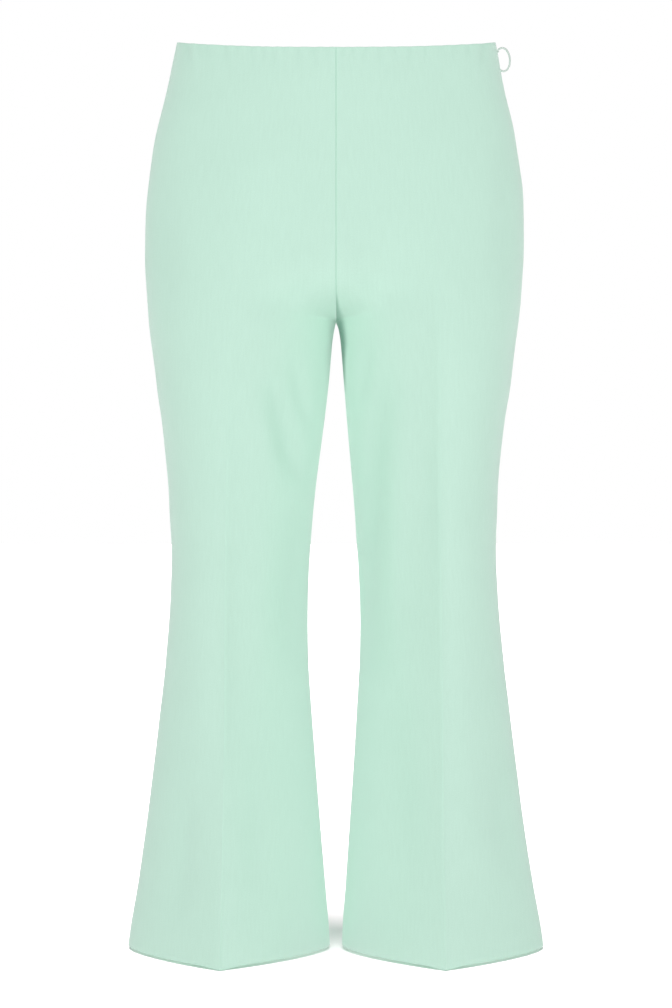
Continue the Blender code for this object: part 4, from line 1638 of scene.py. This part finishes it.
@dataclass(frozen=True)
class Studio:
    """A plain pale floor, soft light and a camera at the photograph's angle."""

    eye: Point = (0.0, -2.0, -0.4384)
    lens: float = 75.188
    floor: float = -0.8598
    surround: float = 0.44
    softboxes: tuple[tuple[str, float, float], ...] = (
        ("front_softbox", -1.0, 32.0),
        ("back_softbox", 1.0, 26.0),
    )
    floor_light: float = 5.0
    floor_light_lean: float = radians(6)
    floor_light_angle: float = radians(20)
    fill_angle: float = radians(30)
    softbox_size: float = 2.4
    softbox_place: tuple[float, float] = (3.4, 0.1)
    softbox_dip: float = radians(80)
    backdrop_radius: float = 30.0
    floor_size: float = 40.0
    rims: tuple[tuple[str, float, float, float], ...] = (
        ("left_rim", 108.0, 0.0, 0.11),
        ("right_rim", -108.0, 0.0, 0.11),
    )
    fills: tuple[tuple[str, float, float, float], ...] = (
        ("front_fill", 0.0, 0.0, 0.28),
        ("left_fill", 72.0, 0.0, 0.185),
        ("right_fill", -72.0, 0.0, 0.185),
        ("back_left_fill", 144.0, 0.0, 0.13),
        ("back_right_fill", -144.0, 0.0, 0.13),
        ("low_fill", 0.0, -89.0, 0.22),
    )

    def build(self) -> None:
        """Add the camera, the surround, the lights, the backdrop and the floor."""
        scene = bpy.context.scene
        scene.view_settings.view_transform = "Standard"
        scene.view_settings.look = "None"
        camera = bpy.data.objects.new("camera", bpy.data.cameras.new("camera"))
        camera.data.lens = self.lens
        camera.data.sensor_width = 36.0
        camera.data.clip_start = 0.01
        camera.data.clip_end = 100.0
        camera.location = self.eye
        camera.rotation_euler = (pi / 2, 0.0, 0.0)
        scene.collection.objects.link(camera)
        scene.camera = camera
        world = bpy.data.worlds.new("studio_surround")
        scene.world = world
        world.use_nodes = True
        surround = world.node_tree.nodes["Background"]
        surround.inputs["Color"].default_value = (1.0, 1.0, 1.0, 1.0)
        surround.inputs["Strength"].default_value = self.surround
        size, (away, height) = self.softbox_size, self.softbox_place
        for name, ahead, power in self.softboxes:
            turn = (-self.softbox_dip * ahead, 0.0, 0.0)
            softbox = self.lamp(name, "AREA", turn, shape="SQUARE", size=size, energy=power)
            softbox.location = (0.0, away * ahead, height)
        for name, azimuth, elevation, share in self.fills:
            self.fill(name, azimuth, elevation, share).data.use_shadow = False
        for name, azimuth, elevation, share in self.rims:
            self.fill(name, azimuth, elevation, share)
        self.hang_backdrop()
        self.light_from_above(self.lay_floor())

    def lamp(self, name: str, kind: str, turn: Any, **settings: Any) -> bpy.types.Object:
        """Add one light, which looks down its own -Z.

        Args:
            name: The light's name.
            kind: The kind of light.
            turn: How it is turned.
            **settings: The light's own settings.

        Returns:
            The light.
        """
        light = bpy.data.lights.new(name, kind)
        for key, value in settings.items():
            setattr(light, key, value)
        lamp = bpy.data.objects.new(name, light)
        lamp.rotation_euler = turn
        bpy.context.scene.collection.objects.link(lamp)
        return lamp

    def fill(self, name: str, azimuth: float, elevation: float, share: float) -> bpy.types.Object:
        """Add one even, soft light.

        Args:
            name: The light's name.
            azimuth: Where it stands round the garment, in degrees from the front.
            elevation: How far above the horizon it stands, in degrees.
            share: Its part of a full white light.

        Returns:
            The light.
        """
        around, up = radians(azimuth), radians(elevation)
        towards = Vector((-sin(around) * cos(up), cos(around) * cos(up), -sin(up)))
        turn = towards.to_track_quat("-Z", "Y").to_euler()
        return self.lamp(name, "SUN", turn, energy=share * pi, angle=self.fill_angle)

    def light_from_above(self, floor: bpy.types.Object) -> None:
        """Light the floor alone, evenly from above and a little in front."""
        turn, angle = (self.floor_light_lean, 0.0, 0.0), self.floor_light_angle
        lamp = self.lamp("floor_light", "SUN", turn, energy=self.floor_light, angle=angle)
        lamp.data.color = (1.0, 0.86, 0.91)
        lit = bpy.data.collections.new("lit_from_above")
        lit.objects.link(floor)
        lamp.light_linking.receiver_collection = lit

    def hang_backdrop(self) -> None:
        """Hang an even white backdrop all round, far off, that only the camera sees."""
        shop = NodeShop("white_backdrop")
        white = shop.dress(
            Base_Color=(0.0, 0.0, 0.0, 1.0),
            Roughness=1.0,
            Specular_IOR_Level=0.0,
            Emission_Color=(1.0, 1.0, 1.0, 1.0),
            Emission_Strength=1.0,
        )
        bpy.ops.object.select_all(action="DESELECT")
        bpy.ops.mesh.primitive_uv_sphere_add(
            segments=48, ring_count=24, radius=self.backdrop_radius
        )
        backdrop = just_added("backdrop")
        edit_all()
        bpy.ops.mesh.flip_normals()
        bpy.ops.object.mode_set(mode="OBJECT")
        backdrop.data.materials.append(white)
        for ray in ("diffuse", "glossy", "transmission", "volume_scatter", "shadow"):
            setattr(backdrop, f"visible_{ray}", False)

    def lay_floor(self) -> bpy.types.Object:
        """Lay the floor, in a pale even paper finish."""
        shop = NodeShop("pale_floor")
        place = shop.node("TexCoord", out="Object")
        fibres = shop.noise(place, 60.0, 4.0, 0.6)
        paper = shop.dress(
            Base_Color=shop.mix(fibres, (0.87, 0.87, 0.87, 1.0), (0.89, 0.89, 0.89, 1.0)),
            Roughness=0.9,
            Specular_IOR_Level=0.1,
        )
        bpy.ops.object.select_all(action="DESELECT")
        bpy.ops.mesh.primitive_plane_add(size=self.floor_size, location=(0.0, 0.0, self.floor))
        floor = just_added("floor")
        floor.data.materials.append(paper)
        floor.visible_diffuse = False
        return floor


# ---------------------------------------------------------------- making


def report(piece: bpy.types.Object) -> None:
    """Log a piece's name and face count."""
    LOG.info("%s: %d faces", piece.name, len(piece.data.polygons))


def main() -> None:
    """Build the garment, its zip and the studio."""
    logging.basicConfig(level=logging.INFO, format="%(name)s: %(message)s")
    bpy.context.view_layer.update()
    form = TrouserForm()
    cloth = CrepeFinish().build()
    for face in Face:
        for side in Side:
            report(ClothPanel(face, side, form, cloth).place())
    SideZip(form, TapeFinish().build(), CoilFinish().build(), EnamelFinish().build()).place()
    Studio().build()


if __name__ == "__main__":
    main()
